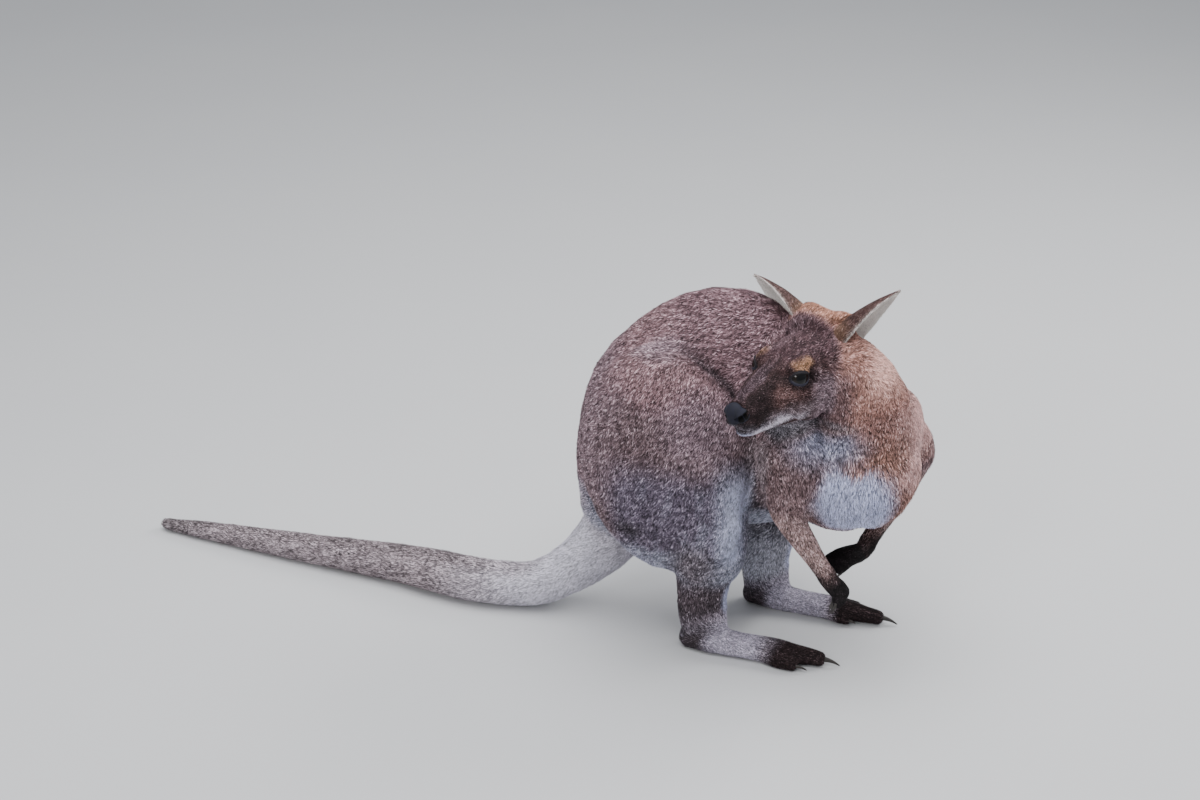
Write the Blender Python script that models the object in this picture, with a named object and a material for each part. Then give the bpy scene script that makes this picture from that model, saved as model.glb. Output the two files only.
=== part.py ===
"""Adult red-necked wallaby, life size, standing on its hind feet with the trunk lowered and the head
turned back over the right shoulder.

The body is modelled whole, as tapered tubes along the bones that a voxel remesh fuses into one form.
Thin disc-shaped cuts then part it where a person would name its parts. Metres, +Z up, +X forward,
+Y to the animal's left. Coat depth is included in every size.
"""

import math

import bmesh
import bpy
import numpy as np
from mathutils import Matrix, Vector

# ---------------------------------------------------------------- driving sizes
FOOT_LENGTH = 0.190
EAR_LENGTH = 0.087
EAR_WIDTH = 0.043
EAR_THICKNESS = 0.0030
EYE_RADIUS = 0.0118
NOSE_SIZE = (0.0105, 0.0135, 0.0115)  # half sizes of the bare nose pad
CUT = 0.0006  # width of the thin cuts between parts
VOXEL = 0.0032  # grain of the fused form
BODY_TRIANGLES = 3500  # facets of the fused form before it is parted

# ---------------------------------------------------------------- where the joints are
HEEL = {"r": Vector((0.000, -0.057, 0.0)), "l": Vector((0.066, 0.055, 0.0))}
FOOT_HEADING = {"r": -2.0, "l": -5.0}  # degrees about +Z
KNEE = {"r": Vector((0.064, -0.090, 0.245)), "l": Vector((0.092, 0.086, 0.245))}
HAUNCH = {"r": Vector((-0.021, -0.060, 0.272)), "l": Vector((-0.008, 0.060, 0.270))}
HAUNCH_SIZE = (0.108, 0.053, 0.155)
SHOULDER = {"r": Vector((0.124, -0.090, 0.322)), "l": Vector((0.249, 0.014, 0.285))}
ELBOW = {"r": Vector((0.128, -0.114, 0.250)), "l": Vector((0.252, 0.018, 0.218))}
WRIST = {"r": Vector((0.185, -0.120, 0.167)), "l": Vector((0.218, -0.052, 0.170))}
KNUCKLE = {"r": Vector((0.202, -0.122, 0.154)), "l": Vector((0.197, -0.069, 0.169))}
FINGERTIP = {"r": Vector((0.190, -0.127, 0.142)), "l": Vector((0.182, -0.080, 0.158))}
NOSE_TIP = Vector((0.0640, -0.1810, 0.4145))
HEAD_HEADING, HEAD_PITCH, HEAD_ROLL = -124.0, 2.0, 4.0  # degrees; nose up and left side up are positive
HEAD = (
    Matrix.Translation(NOSE_TIP)
    @ Matrix.Rotation(math.radians(HEAD_HEADING), 4, "Z")
    @ Matrix.Rotation(math.radians(-HEAD_PITCH), 4, "Y")
    @ Matrix.Rotation(math.radians(HEAD_ROLL), 4, "X")
)
SIDES = {"r": -1, "l": 1}  # sign of y in the body and in the head


# ---------------------------------------------------------------- finishes
def finish(name, colour, roughness, metallic=0.0):
    """A Principled material."""
    material = bpy.data.materials.new(name)
    material.use_nodes = True
    shader = material.node_tree.nodes["Principled BSDF"]
    shader.inputs["Base Color"].default_value = (*colour, 1)
    shader.inputs["Roughness"].default_value = roughness
    shader.inputs["Metallic"].default_value = metallic
    return material


def finishes():
    return {
        "grizzled": finish("grizzled_fur", (0.24, 0.18, 0.15), 0.85),
        "rufous": finish("rufous_fur", (0.34, 0.19, 0.11), 0.85),
        "pale": finish("pale_fur", (0.55, 0.53, 0.52), 0.85),
        "dark": finish("dark_fur", (0.05, 0.035, 0.03), 0.8),
        "nose": finish("nose_skin", (0.03, 0.03, 0.035), 0.45),
        "eye": finish("eye", (0.012, 0.008, 0.006), 0.08),
        "claw": finish("claw_horn", (0.03, 0.026, 0.024), 0.4),
    }


# ---------------------------------------------------------------- tubes along a line of stations
def eased(stations, steps):
    """The stations with steps - 1 more between each pair, on a Catmull-Rom curve through them."""
    s = np.array(stations, float)
    s = np.vstack([2 * s[0] - s[1], s, 2 * s[-1] - s[-2]])
    rows = []
    for i in range(1, len(s) - 2):
        for t in np.arange(steps) / steps:
            a, b, c, d = s[i - 1 : i + 3]
            rows.append(
                0.5 * (2 * b + (c - a) * t + (2 * a - 5 * b + 4 * c - d) * t**2 + (3 * b - a - 3 * c + d) * t**3)
            )
    return np.array(rows + [s[-2]])


def tube(name, stations, facing, sides=20, steps=4, ends=(0.6, 0.6), squareness=1.0, rounds=(25, 50, 72)):
    """A closed tube. A station is x, y, z, half width, reach towards the facing side, reach away from it.

    ends says how far each end bulges, as a share of its smaller half size.
    """
    rows = eased(stations, steps)
    centres = rows[:, :3]
    along = np.gradient(centres, axis=0)
    along /= np.linalg.norm(along, axis=1)[:, None]
    rings = []
    for centre, way, (wide, front, back) in zip(centres, along, np.maximum(rows[:, 3:6], 0.0008)):
        side = np.cross(way, np.array(facing, float))
        side /= np.linalg.norm(side)
        rings.append((centre, way, side, np.cross(side, way), wide, front, back))
    caps = []
    for ring, sign, bulge in ((rings[0], -1, ends[0]), (rings[-1], 1, ends[1])):
        centre, way, side, up, wide, front, back = ring
        reach = bulge * min(wide, (front + back) / 2)
        made = []
        for angle in rounds:
            shrink, shift = math.cos(math.radians(angle)), math.sin(math.radians(angle)) * reach
            made.append((centre + way * sign * shift, way, side, up, wide * shrink, front * shrink, back * shrink))
        caps.append(made)
    rings = caps[0][::-1] + rings + caps[1]
    mesh = bmesh.new()
    loops = []
    for centre, way, side, up, wide, front, back in rings:
        loop = []
        for k in range(sides):
            angle = math.tau * k / sides
            c, s = math.cos(angle), math.sin(angle)
            c, s = (math.copysign(abs(v) ** squareness, v) for v in (c, s))
            loop.append(mesh.verts.new(centre + side * wide * c + up * (front if s > 0 else back) * s))
        loops.append(loop)
    for first, second in zip(loops, loops[1:]):
        for k in range(sides):
            mesh.faces.new((first[k], first[(k + 1) % sides], second[(k + 1) % sides], second[k]))
    mesh.faces.new(loops[0][::-1])
    mesh.faces.new(loops[-1])
    bmesh.ops.recalc_face_normals(mesh, faces=mesh.faces)
    return linked(name, mesh)


def linked(name, mesh):
    """The bmesh as an object of the scene."""
    data = bpy.data.meshes.new(name)
    mesh.to_mesh(data)
    mesh.free()
    obj = bpy.data.objects.new(name, data)
    bpy.context.scene.collection.objects.link(obj)
    return obj


def ball(name, centre, sizes, place=Matrix.Identity(4), turn=(0, 0, 0)):
    """An ellipsoid with these half sizes, turned by degrees about X, Y and Z."""
    mesh = bmesh.new()
    spin = Matrix.Rotation(math.radians(turn[2]), 4, "Z") @ Matrix.Rotation(math.radians(turn[1]), 4, "Y")
    spin = spin @ Matrix.Rotation(math.radians(turn[0]), 4, "X")
    where = place @ Matrix.Translation(centre) @ spin @ Matrix.Diagonal((*sizes, 1))
    bmesh.ops.create_uvsphere(mesh, u_segments=24, v_segments=14, radius=1, matrix=where)
    return linked(name, mesh)


def placed(obj, matrix):
    obj.data.transform(matrix)
    return obj


# ---------------------------------------------------------------- trunk, neck and tail
def trunk_forms():
    trunk = tube(
        "trunk_form",
        [
            (-0.104, 0.000, 0.160, 0.046, 0.041, 0.050),
            (-0.072, 0.000, 0.225, 0.070, 0.085, 0.085),
            (-0.022, 0.000, 0.282, 0.080, 0.136, 0.125),
            (0.044, 0.000, 0.308, 0.084, 0.169, 0.155),
            (0.106, -0.006, 0.304, 0.074, 0.141, 0.146),
            (0.160, -0.026, 0.296, 0.074, 0.090, 0.117),
            (0.204, -0.052, 0.286, 0.078, 0.078, 0.094),
            (0.232, -0.070, 0.282, 0.062, 0.058, 0.064),
        ],
        facing=(-0.3, 0, 1),
        sides=28,
        squareness=1.08,
    )
    neck = tube(
        "neck_form",
        [
            (0.180, -0.024, 0.290, 0.078, 0.076, 0.076),
            (0.202, -0.036, 0.340, 0.070, 0.060, 0.066),
            (0.199, -0.056, 0.388, 0.056, 0.045, 0.054),
            (0.178, -0.068, 0.420, 0.045, 0.042, 0.048),
            (0.150, -0.080, 0.434, 0.034, 0.036, 0.040),
        ],
        facing=(0.6, 0.8, 0.2),
        sides=24,
    )
    tail = tube(
        "tail_form",
        [
            (-0.070, 0.000, 0.200, 0.050, 0.046, 0.052),
            (-0.112, 0.000, 0.118, 0.038, 0.033, 0.052),
            (-0.152, -0.004, 0.066, 0.031, 0.030, 0.040),
            (-0.205, -0.012, 0.034, 0.0285, 0.028, 0.032),
            (-0.280, -0.016, 0.028, 0.0275, 0.034, 0.028),
            (-0.340, -0.006, 0.026, 0.0265, 0.034, 0.026),
            (-0.400, 0.006, 0.0245, 0.0240, 0.0290, 0.025),
            (-0.540, 0.023, 0.020, 0.0190, 0.0200, 0.021),
            (-0.660, 0.040, 0.015, 0.0145, 0.0145, 0.016),
            (-0.755, 0.053, 0.010, 0.0090, 0.0095, 0.0105),
        ],
        facing=(0.2, 0, 1),
    )
    shoulders = ball("shoulder_form", (0.2355, -0.028, 0.333), (0.040, 0.045, 0.050))
    return [trunk, neck, tail, shoulders]


# ---------------------------------------------------------------- hind limbs
def hind_limb_forms(side):
    """Haunch, shank and foot, with the big fourth toe, the fifth beside it and the joined pair inside."""
    out = SIDES[side]
    heel, knee, hub = HEEL[side], KNEE[side], HAUNCH[side]
    haunch = ball(f"haunch_form_{side}", hub, HAUNCH_SIZE, turn=(0, -6, 0))
    ankle = heel + Vector((0.024, -0.002 * out, 0.0))
    shank = tube(
        f"shank_form_{side}",
        [
            (ankle.x, ankle.y, 0.018, 0.0165, 0.042, 0.022),
            (ankle.x, ankle.y, 0.040, 0.0170, 0.035, 0.027),
            (ankle.x, ankle.y, 0.075, 0.0185, 0.034, 0.031),
            (ankle.x + 0.002, ankle.y + 0.004 * out, 0.115, 0.0230, 0.038, 0.035),
            (*ankle.lerp(knee, 0.50)[:2], 0.155, 0.031, 0.037, 0.046),
            (*ankle.lerp(knee, 0.62)[:2], 0.205, 0.034, 0.034, 0.056),
        ],
        facing=(1, 0, 0),
    )
    turned = Matrix.Translation(heel) @ Matrix.Rotation(math.radians(FOOT_HEADING[side]), 4, "Z")
    size = FOOT_LENGTH
    sole = placed(
        tube(
            f"foot_form_{side}",
            [
                (0.008, 0, 0.015, 0.0125, 0.014, 0.016),
                (0.20 * size, 0, 0.016, 0.0185, 0.016, 0.018),
                (0.40 * size, 0, 0.014, 0.0185, 0.012, 0.016),
                (0.62 * size, 0, 0.013, 0.0190, 0.012, 0.015),
                (0.78 * size, 0, 0.012, 0.0130, 0.011, 0.013),
                (0.94 * size, 0, 0.010, 0.0100, 0.0090, 0.0105),
            ],
            facing=(0, 0, 1),
            ends=(0.8, 0.7),
        ),
        turned,
    )
    outer_toe = placed(
        tube(
            f"outer_toe_form_{side}",
            [
                (0.55 * size, 0.010 * out, 0.011, 0.0085, 0.010, 0.012),
                (0.68 * size, 0.0175 * out, 0.009, 0.0075, 0.0085, 0.010),
                (0.78 * size, 0.0200 * out, 0.0075, 0.0060, 0.0070, 0.008),
            ],
            facing=(0, 0, 1),
            sides=14,
        ),
        turned,
    )
    inner_toe = placed(
        tube(
            f"inner_toe_form_{side}",
            [
                (0.55 * size, -0.010 * out, 0.011, 0.0070, 0.009, 0.011),
                (0.66 * size, -0.0150 * out, 0.009, 0.0060, 0.0070, 0.009),
                (0.74 * size, -0.0165 * out, 0.0075, 0.0050, 0.0055, 0.008),
            ],
            facing=(0, 0, 1),
            sides=14,
        ),
        turned,
    )
    return [haunch, shank, sole, outer_toe, inner_toe]


# ---------------------------------------------------------------- forelimbs
def hand_frame(side):
    """Knuckle to fingertip, and the line across the fingers towards the thumb."""
    wrist, knuckle, tip = WRIST[side], KNUCKLE[side], FINGERTIP[side]
    down = (knuckle - wrist).normalized()
    palm_way = (tip - knuckle).normalized()
    across = down.cross(palm_way)
    return down, palm_way, across.normalized()


def forelimb_forms(side):
    shoulder, elbow, wrist, knuckle = SHOULDER[side], ELBOW[side], WRIST[side], KNUCKLE[side]
    down, palm_way, across = hand_frame(side)
    blade = shoulder + Vector((-0.012, -0.016 * SIDES[side], 0.045))
    upper = tube(
        f"upper_arm_form_{side}",
        [
            (*blade, 0.028, 0.034, 0.036),
            (*shoulder, 0.036, 0.046, 0.046),
            (*shoulder.lerp(elbow, 0.55), 0.028, 0.034, 0.035),
            (*elbow, 0.0185, 0.021, 0.022),
        ],
        facing=(0.8, -0.6, 0.1),
    )
    fore = tube(
        f"forearm_form_{side}",
        [
            (*elbow.lerp(wrist, -0.06), 0.0175, 0.0185, 0.0185),
            (*elbow.lerp(wrist, 0.25), 0.0160, 0.0170, 0.0170),
            (*elbow.lerp(wrist, 0.65), 0.0120, 0.0130, 0.0130),
            (*wrist, 0.0108, 0.0112, 0.0112),
            (*wrist.lerp(knuckle, 0.6), 0.0125, 0.0110, 0.0110),
        ],
        facing=tuple(palm_way),
    )
    forms = [upper, fore]
    palm = tube(
        f"palm_form_{side}",
        [
            (*wrist.lerp(knuckle, 0.25), 0.0120, 0.0105, 0.0100),
            (*wrist.lerp(knuckle, 0.65), 0.0150, 0.0100, 0.0100),
            (*knuckle, 0.0150, 0.0085, 0.0085),
        ],
        facing=tuple(palm_way),
        ends=(0.5, 0.7),
    )
    forms.append(palm)
    for finger in range(FINGERS):
        root, tip = finger_line(side, finger)
        bend = root.lerp(tip, 0.5) + down * 0.0035
        forms.append(
            tube(
                f"finger_form_{finger}_{side}",
                [(*root, 0.0048, 0.0050, 0.0050), (*bend, 0.0044, 0.0046, 0.0046), (*tip, 0.0036, 0.0038, 0.0038)],
                facing=tuple(down),
                sides=12,
            )
        )
    return forms


def finger_line(side, finger):
    """Root and tip of a finger, counted from the inner one."""
    down, palm_way, across = hand_frame(side)
    spread = (finger - 2) * 0.0062
    length = (FINGERTIP[side] - KNUCKLE[side]).length * (0.82, 0.96, 1.0, 0.96, 0.82)[finger]
    root = KNUCKLE[side] + across * spread - down * 0.002
    tip = KNUCKLE[side] + across * spread * 1.3 + palm_way * length
    return root, tip


# ---------------------------------------------------------------- head, in its own frame: origin at the nose tip
def head_forms():
    """Skull, jaw, lips, cheeks, orbits and brows. x is 0 at the nose tip and falls towards the nape."""
    skull = tube(
        "skull_form",
        [
            (-0.010, 0, -0.0065, 0.0130, 0.0130, 0.0120),
            (-0.024, 0, -0.0065, 0.0160, 0.0190, 0.0180),
            (-0.045, 0, -0.001, 0.0205, 0.0245, 0.0250),
            (-0.070, 0, 0.003, 0.0275, 0.0325, 0.0310),
            (-0.090, 0, 0.005, 0.0330, 0.0405, 0.0350),
            (-0.115, 0, 0.007, 0.0380, 0.0465, 0.0400),
            (-0.140, 0, 0.007, 0.0370, 0.0480, 0.0400),
            (-0.160, 0, 0.006, 0.0310, 0.0420, 0.0360),
        ],
        facing=(0, 0, 1),
        sides=28,
        ends=(0.75, 0.6),
        squareness=0.92,
    )
    jaw = tube(
        "jaw_form",
        [
            (-0.021, 0, -0.0270, 0.0080, 0.006, 0.0090),
            (-0.034, 0, -0.0285, 0.0110, 0.008, 0.0115),
            (-0.060, 0, -0.0270, 0.0155, 0.012, 0.0140),
            (-0.090, 0, -0.0240, 0.0225, 0.018, 0.0200),
            (-0.122, 0, -0.0180, 0.0295, 0.022, 0.0255),
        ],
        facing=(0, 0, 1),
    )
    crown = ball("crown_form", (-0.156, -0.008, 0.052), (0.028, 0.036, 0.021))
    forms = [skull, jaw, crown]
    for side, sign in SIDES.items():
        forms.append(ball(f"cheek_form_{side}", (-0.108, 0.0265 * sign, -0.006), (0.034, 0.0150, 0.031)))
        forms.append(ball(f"cheekbone_form_{side}", (-0.097, 0.0255 * sign, 0.009), (0.026, 0.0105, 0.013)))
        forms.append(ball(f"orbit_form_{side}", (-0.087, 0.0225 * sign, 0.0220), (0.021, 0.0115, 0.0150)))
        forms.append(ball(f"brow_form_{side}", (-0.089, 0.0235 * sign, 0.0325), (0.020, 0.0090, 0.0085), turn=(0, 18, 0)))
        forms.append(ball(f"ear_seat_form_{side}", (-0.163, 0.0230 * sign, 0.0600), (0.017, 0.015, 0.0155)))
        forms.append(ball(f"lip_form_{side}", (-0.027, 0.0092 * sign, -0.0180), (0.019, 0.0078, 0.0090)))
        forms.append(ball(f"ear_root_form_{side}", (-0.147, 0.0240 * sign, 0.0400), (0.018, 0.015, 0.019)))
    return [placed(form, HEAD) for form in forms]


# ---------------------------------------------------------------- ears
EAR_ROOT = {"r": Vector((-0.159, -0.0225, 0.0510)), "l": Vector((-0.150, 0.0250, 0.0460))}
EAR_AXIS = {"r": Vector((-0.835, 0.466, 0.300)), "l": Vector((0.800, 0.161, 0.578))}
EAR_OPENING = {"r": Vector((-0.555, -0.722, -0.421)), "l": Vector((0.70, -0.53, -0.48))}
EAR_PROFILE = (
    # share of the length, half the unrolled width as a share of the ear's width, half the roll in degrees
    (0.00, 0.60, 150),
    (0.12, 0.78, 125),
    (0.26, 0.82, 100),
    (0.48, 0.70, 82),
    (0.70, 0.48, 70),
    (0.86, 0.28, 62),
    (0.96, 0.12, 60),
    (1.00, 0.04, 60),
)


def ear(side, rows=8, columns=6):
    """A leaf-shaped sheet, rolled into a tube at its root and a shallow trough at its tip."""
    axis = EAR_AXIS[side].normalized()
    opening = EAR_OPENING[side]
    opening = (opening - axis * opening.dot(axis)).normalized()
    across = axis.cross(opening)
    root = HEAD @ EAR_ROOT[side]
    mesh = bmesh.new()
    grid = []
    shares, widths, rolls = zip(*EAR_PROFILE)
    for t in np.linspace(0, 1, rows + 1):
        roll = math.radians(np.interp(t, shares, rolls))
        radius = np.interp(t, shares, widths) * EAR_WIDTH / roll
        back = root + axis * (EAR_LENGTH * t) - opening * (0.010 + 0.004 * math.sin(math.pi * t))
        line = []
        for j in range(columns + 1):
            angle = (j / columns * 2 - 1) * roll
            point = back + across * math.sin(angle) * radius + opening * (1 - math.cos(angle)) * radius
            line.append(mesh.verts.new(point))
        grid.append(line)
    for first, second in zip(grid, grid[1:]):
        for j in range(columns):
            mesh.faces.new((first[j], first[j + 1], second[j + 1], second[j]))
    obj = linked(f"ear_{side}", mesh)
    sheet = obj.modifiers.new("thickness", "SOLIDIFY")
    sheet.thickness = EAR_THICKNESS
    sheet.offset = 0
    return obj


# ---------------------------------------------------------------- claws
FINGERS = 5
HAND_CLAW_LENGTH = 0.0085
HAND_CLAW_THICK = 0.0019
HIND_CLAWS = (
    # name, share of the foot length, distance from the foot's line, height, length, thickness
    ("fourth", 0.965, 0.0000, 0.0095, 0.019, 0.0036),
    ("fifth", 0.800, 0.0205, 0.0080, 0.012, 0.0025),
    ("joined", 0.755, -0.0175, 0.0080, 0.008, 0.0020),
)


def claw(name, root, way, bend, length, thick):
    """A horn cone from root along way, its tip carried towards bend."""
    way = way.normalized()
    stations = []
    for t in (0.0, 0.5, 1.0):
        point = root + way * length * t + bend.normalized() * length * 0.32 * t * t
        size = max(thick * (1 - 0.72 * t), 0.0006)
        stations.append((*point, size, size, size))
    return tube(name, stations, facing=tuple(bend), sides=6, steps=1, ends=(0.3, 0.8), rounds=())


def claws():
    """Every claw, by name."""
    made = {}
    down = Vector((0, 0, -1))
    for side, out in SIDES.items():
        turned = Matrix.Translation(HEEL[side]) @ Matrix.Rotation(math.radians(FOOT_HEADING[side]), 4, "Z")
        ahead = turned.to_3x3() @ Vector((1, 0, 0))
        for name, share, aside, height, length, thick in HIND_CLAWS:
            root = turned @ Vector((share * FOOT_LENGTH, aside * out, height))
            label = f"claw_foot_{name}_{side}"
            made[label] = claw(label, root, ahead, down, length, thick)
        hand_down, palm_way, across = hand_frame(side)
        for finger in range(FINGERS):
            root, tip = finger_line(side, finger)
            way = (tip - root).normalized()
            label = f"claw_hand_{finger + 1}_{side}"
            start = tip - way * 0.001
            made[label] = claw(label, start, way + hand_down * 0.4, palm_way, HAND_CLAW_LENGTH, HAND_CLAW_THICK)
    return made


# ---------------------------------------------------------------- fusing, softening and cutting
def applied(obj):
    """The object with its modifiers made into its mesh."""
    graph = bpy.context.evaluated_depsgraph_get()
    data = bpy.data.meshes.new_from_object(obj.evaluated_get(graph))
    obj.modifiers.clear()
    obj.data = data
    return obj


def joined(name, forms):
    mesh = bmesh.new()
    for form in forms:
        mesh.from_mesh(form.data)
    for form in forms:
        bpy.data.objects.remove(form)
    return linked(name, mesh)


def remeshed(obj, voxel):
    fuse = obj.modifiers.new("fuse", "REMESH")
    fuse.mode = "VOXEL"
    fuse.voxel_size = voxel
    return applied(obj)


def softened(obj, zones):
    """Smooths the mesh round each zone's centre: (centre, radius, repeats)."""
    for centre, radius, repeats in zones:
        points = np.array([v.co for v in obj.data.vertices])
        away = np.linalg.norm(points - np.array(centre), axis=1) / radius
        group = obj.vertex_groups.new(name="zone")
        for index in np.flatnonzero(away < 1):
            group.add([int(index)], float(1 - away[index] ** 2), "REPLACE")
        smooth = obj.modifiers.new("soften", "SMOOTH")
        smooth.factor = 0.7
        smooth.iterations = repeats
        smooth.vertex_group = group.name
        obj = applied(obj)
        obj.vertex_groups.clear()
    return obj


def thinned(obj, triangles):
    """Fewer, larger facets. The head and hands lean towards keeping theirs."""
    group = obj.vertex_groups.new(name="broad")
    for vertex in obj.data.vertices:
        weight = 1.0
        for centre, radius in FINE_ZONES:
            away = (vertex.co - Vector(centre)).length / radius
            weight = min(weight, max(FINE_WEIGHT, (away - 0.8) / 0.4))
        group.add([vertex.index], weight, "REPLACE")
    fewer = obj.modifiers.new("fewer", "DECIMATE")
    fewer.ratio = triangles / (2 * len(obj.data.polygons))
    fewer.vertex_group = group.name
    fewer.vertex_group_factor = FINE_SHARE
    obj = applied(obj)
    obj.vertex_groups.clear()
    return obj


def without(obj, cutter):
    """The object less the cutter, which is then removed."""
    cut = obj.modifiers.new("cut", "BOOLEAN")
    cut.operation = "DIFFERENCE"
    cut.solver = "EXACT"
    cut.use_self = False
    cut.object = cutter
    cutter.hide_render = True
    cutter.display_type = "WIRE"
    obj = applied(obj)
    bpy.data.objects.remove(cutter)
    return obj


def kept(obj, cutter):
    """The part of the object inside the cutter, as a new object."""
    copy = bpy.data.objects.new("inside", obj.data.copy())
    bpy.context.scene.collection.objects.link(copy)
    cut = copy.modifiers.new("cut", "BOOLEAN")
    cut.operation = "INTERSECT"
    cut.solver = "EXACT"
    cut.object = cutter
    cutter.hide_render = True
    cutter.display_type = "WIRE"
    copy = applied(copy)
    bpy.data.objects.remove(cutter)
    return copy


def grown(obj, gap):
    """A copy pushed outwards along its normals."""
    copy = bpy.data.objects.new("grown", obj.data.copy())
    bpy.context.scene.collection.objects.link(copy)
    push = copy.modifiers.new("push", "DISPLACE")
    push.strength = gap
    push.mid_level = 0
    return applied(copy)


def egg(place, sizes, gap=0.0):
    """An ellipsoid region."""
    mesh = bmesh.new()
    bmesh.ops.create_icosphere(mesh, subdivisions=2, radius=1)
    for vertex in mesh.verts:
        vertex.co = place @ Vector([c * (s + gap) for c, s in zip(vertex.co, sizes)])
    return linked("egg", mesh)


def block(place, low, high, gap=0.0):
    """A box region between two corners of its own frame."""
    mesh = bmesh.new()
    bmesh.ops.create_cube(mesh, size=1)
    for vertex in mesh.verts:
        corner = [a - gap + (b - a + 2 * gap) * (c + 0.5) for a, b, c in zip(low, high, vertex.co)]
        vertex.co = place @ Vector(corner)
    return linked("block", mesh)


def largest(obj):
    """The biggest loose body of a mesh; slivers left by a cut go."""
    mesh = bmesh.new()
    mesh.from_mesh(obj.data)
    seen = set()
    bodies = []
    for start in mesh.faces:
        if start in seen:
            continue
        body = [start]
        seen.add(start)
        for face in body:
            for edge in face.edges:
                for other in edge.link_faces:
                    if other not in seen:
                        seen.add(other)
                        body.append(other)
        bodies.append(body)
    bodies.sort(key=lambda body: sum(face.calc_area() for face in body), reverse=True)
    for body in bodies[1:]:
        bmesh.ops.delete(mesh, geom=body, context="FACES")
    loose = [vertex for vertex in mesh.verts if not vertex.link_faces]
    bmesh.ops.delete(mesh, geom=loose, context="VERTS")
    mesh.to_mesh(obj.data)
    mesh.free()
    return obj


def parted(rest, region):
    """Takes the region out of the rest as a part of its own, with a thin gap between the two."""
    part = largest(kept(rest, region(0.0)))
    return part, largest(without(rest, region(CUT)))


def along(point, towards, roll=(0, 0, 1)):
    """A frame at the point whose X runs towards another point."""
    way = (Vector(towards) - Vector(point)).normalized()
    side = Vector(roll).cross(way).normalized()
    up = way.cross(side)
    turn = Matrix((way, side, up)).transposed().to_4x4()
    return Matrix.Translation(point) @ turn


# ---------------------------------------------------------------- the body, whole and then parted
FINE_ZONES = (
    # centre, radius
    ((0.105, -0.120, 0.430), 0.105),
    ((0.195, -0.120, 0.140), 0.035),
    ((0.195, -0.070, 0.165), 0.035),
)
FINE_WEIGHT = 0.5
FINE_SHARE = 0.00001
SOFT_ZONES = (
    # centre, radius, repeats
    ((0.00, 0.00, 0.30), 0.20, 14),
    ((0.20, -0.03, 0.30), 0.13, 14),
    ((0.26, 0.01, 0.31), 0.06, 14),
    ((0.00, -0.05, 0.13), 0.09, 10),
    ((0.06, 0.05, 0.13), 0.09, 10),
    ((0.07, -0.09, 0.20), 0.07, 10),
    ((0.09, 0.085, 0.20), 0.07, 10),
    ((0.10, -0.13, 0.42), 0.11, 3),
)
FLOOR = Matrix.Identity(4)
NOSE = Vector((-0.0060, 0, -0.0035))
EYE_CENTRE = {side: Vector((-0.0850, 0.0254 * sign, 0.0212)) for side, sign in SIDES.items()}


def body():
    """The fused, softened body with flats where it rests on the floor."""
    forms = trunk_forms() + head_forms()
    for side in SIDES:
        forms += hind_limb_forms(side) + forelimb_forms(side)
    whole = remeshed(joined("body", forms), VOXEL)
    whole = softened(whole, SOFT_ZONES)
    whole = thinned(whole, BODY_TRIANGLES)
    whole = without(whole, block(FLOOR, (-2, -2, -1), (2, 2, 0)))
    return largest(whole)


def head_and_tail(rest, made):
    """Parts the head, the neck and three lengths of tail from the rest."""
    skull = HEAD @ Matrix.Translation((-0.086, 0, 0.010))
    throat = Matrix.Translation((0.180, -0.060, 0.430))
    base = along((-0.104, 0, 0.140), (-0.145, 0, 0.075))
    regions = (
        ("head", lambda gap: egg(skull, (0.108, 0.058, 0.072), gap)),
        ("neck", lambda gap: egg(throat, (0.095, 0.090, 0.085), gap)),
        ("tail_tip", lambda gap: block(FLOOR, (-1.0, -0.2, -0.1), (-0.50, 0.2, 0.2), gap)),
        ("tail_middle", lambda gap: block(FLOOR, (-1.0, -0.2, -0.1), (-0.27, 0.2, 0.2), gap)),
        ("tail_base", lambda gap: block(base, (0, -0.06, -0.07), (0.30, 0.06, 0.25), gap)),
    )
    for name, region in regions:
        made[name], rest = parted(rest, region)
    return rest


def forelimb_parts(rest, made, side):
    """Parts the forearm and upper arm from the rest, then the hand from the forearm."""
    shoulder, elbow, wrist, knuckle = SHOULDER[side], ELBOW[side], WRIST[side], KNUCKLE[side]
    fore = along(elbow.lerp(wrist, 0.12), wrist)
    wide = 0.024 if side == "r" else 0.036
    top = 0.018 if side == "r" else 0.026
    limb, rest = parted(rest, lambda gap: block(fore, (0, -wide, -0.045), (0.16, wide, top), gap))
    middle = along(shoulder.lerp(elbow, 0.45), elbow)
    made[f"upper_arm_{side}"], rest = parted(rest, lambda gap: egg(middle, (0.072, 0.052, 0.056), gap))
    hand = along(wrist.lerp(knuckle, 0.1), knuckle)
    made[f"hand_{side}"], made[f"forearm_{side}"] = parted(
        limb, lambda gap: block(hand, (0, -0.05, -0.05), (0.10, 0.05, 0.05), gap)
    )
    return rest


def hind_limb_parts(rest, made, side):
    """Parts the thigh and shank from the rest, then the foot from the shank."""
    hub = Matrix.Translation(HAUNCH[side] + Vector((0.002, 0.036 * SIDES[side], -0.004)))
    made[f"thigh_{side}"], rest = parted(rest, lambda gap: egg(hub, (0.114, 0.078, 0.180), gap))
    low, high = sorted((0.0, 0.2 * SIDES[side]))
    limb, rest = parted(rest, lambda gap: block(FLOOR, (-0.035, low, -0.1), (0.4, high, 0.112), gap))
    ankle = Matrix.Translation(HEEL[side] + Vector((0.02, 0, 0.044))) @ Matrix.Rotation(math.radians(-25), 4, "Y")
    made[f"foot_{side}"], made[f"shank_{side}"] = parted(
        limb, lambda gap: block(ankle, (-0.1, -0.1, -0.2), (0.3, 0.1, 0), gap)
    )
    return rest


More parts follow.
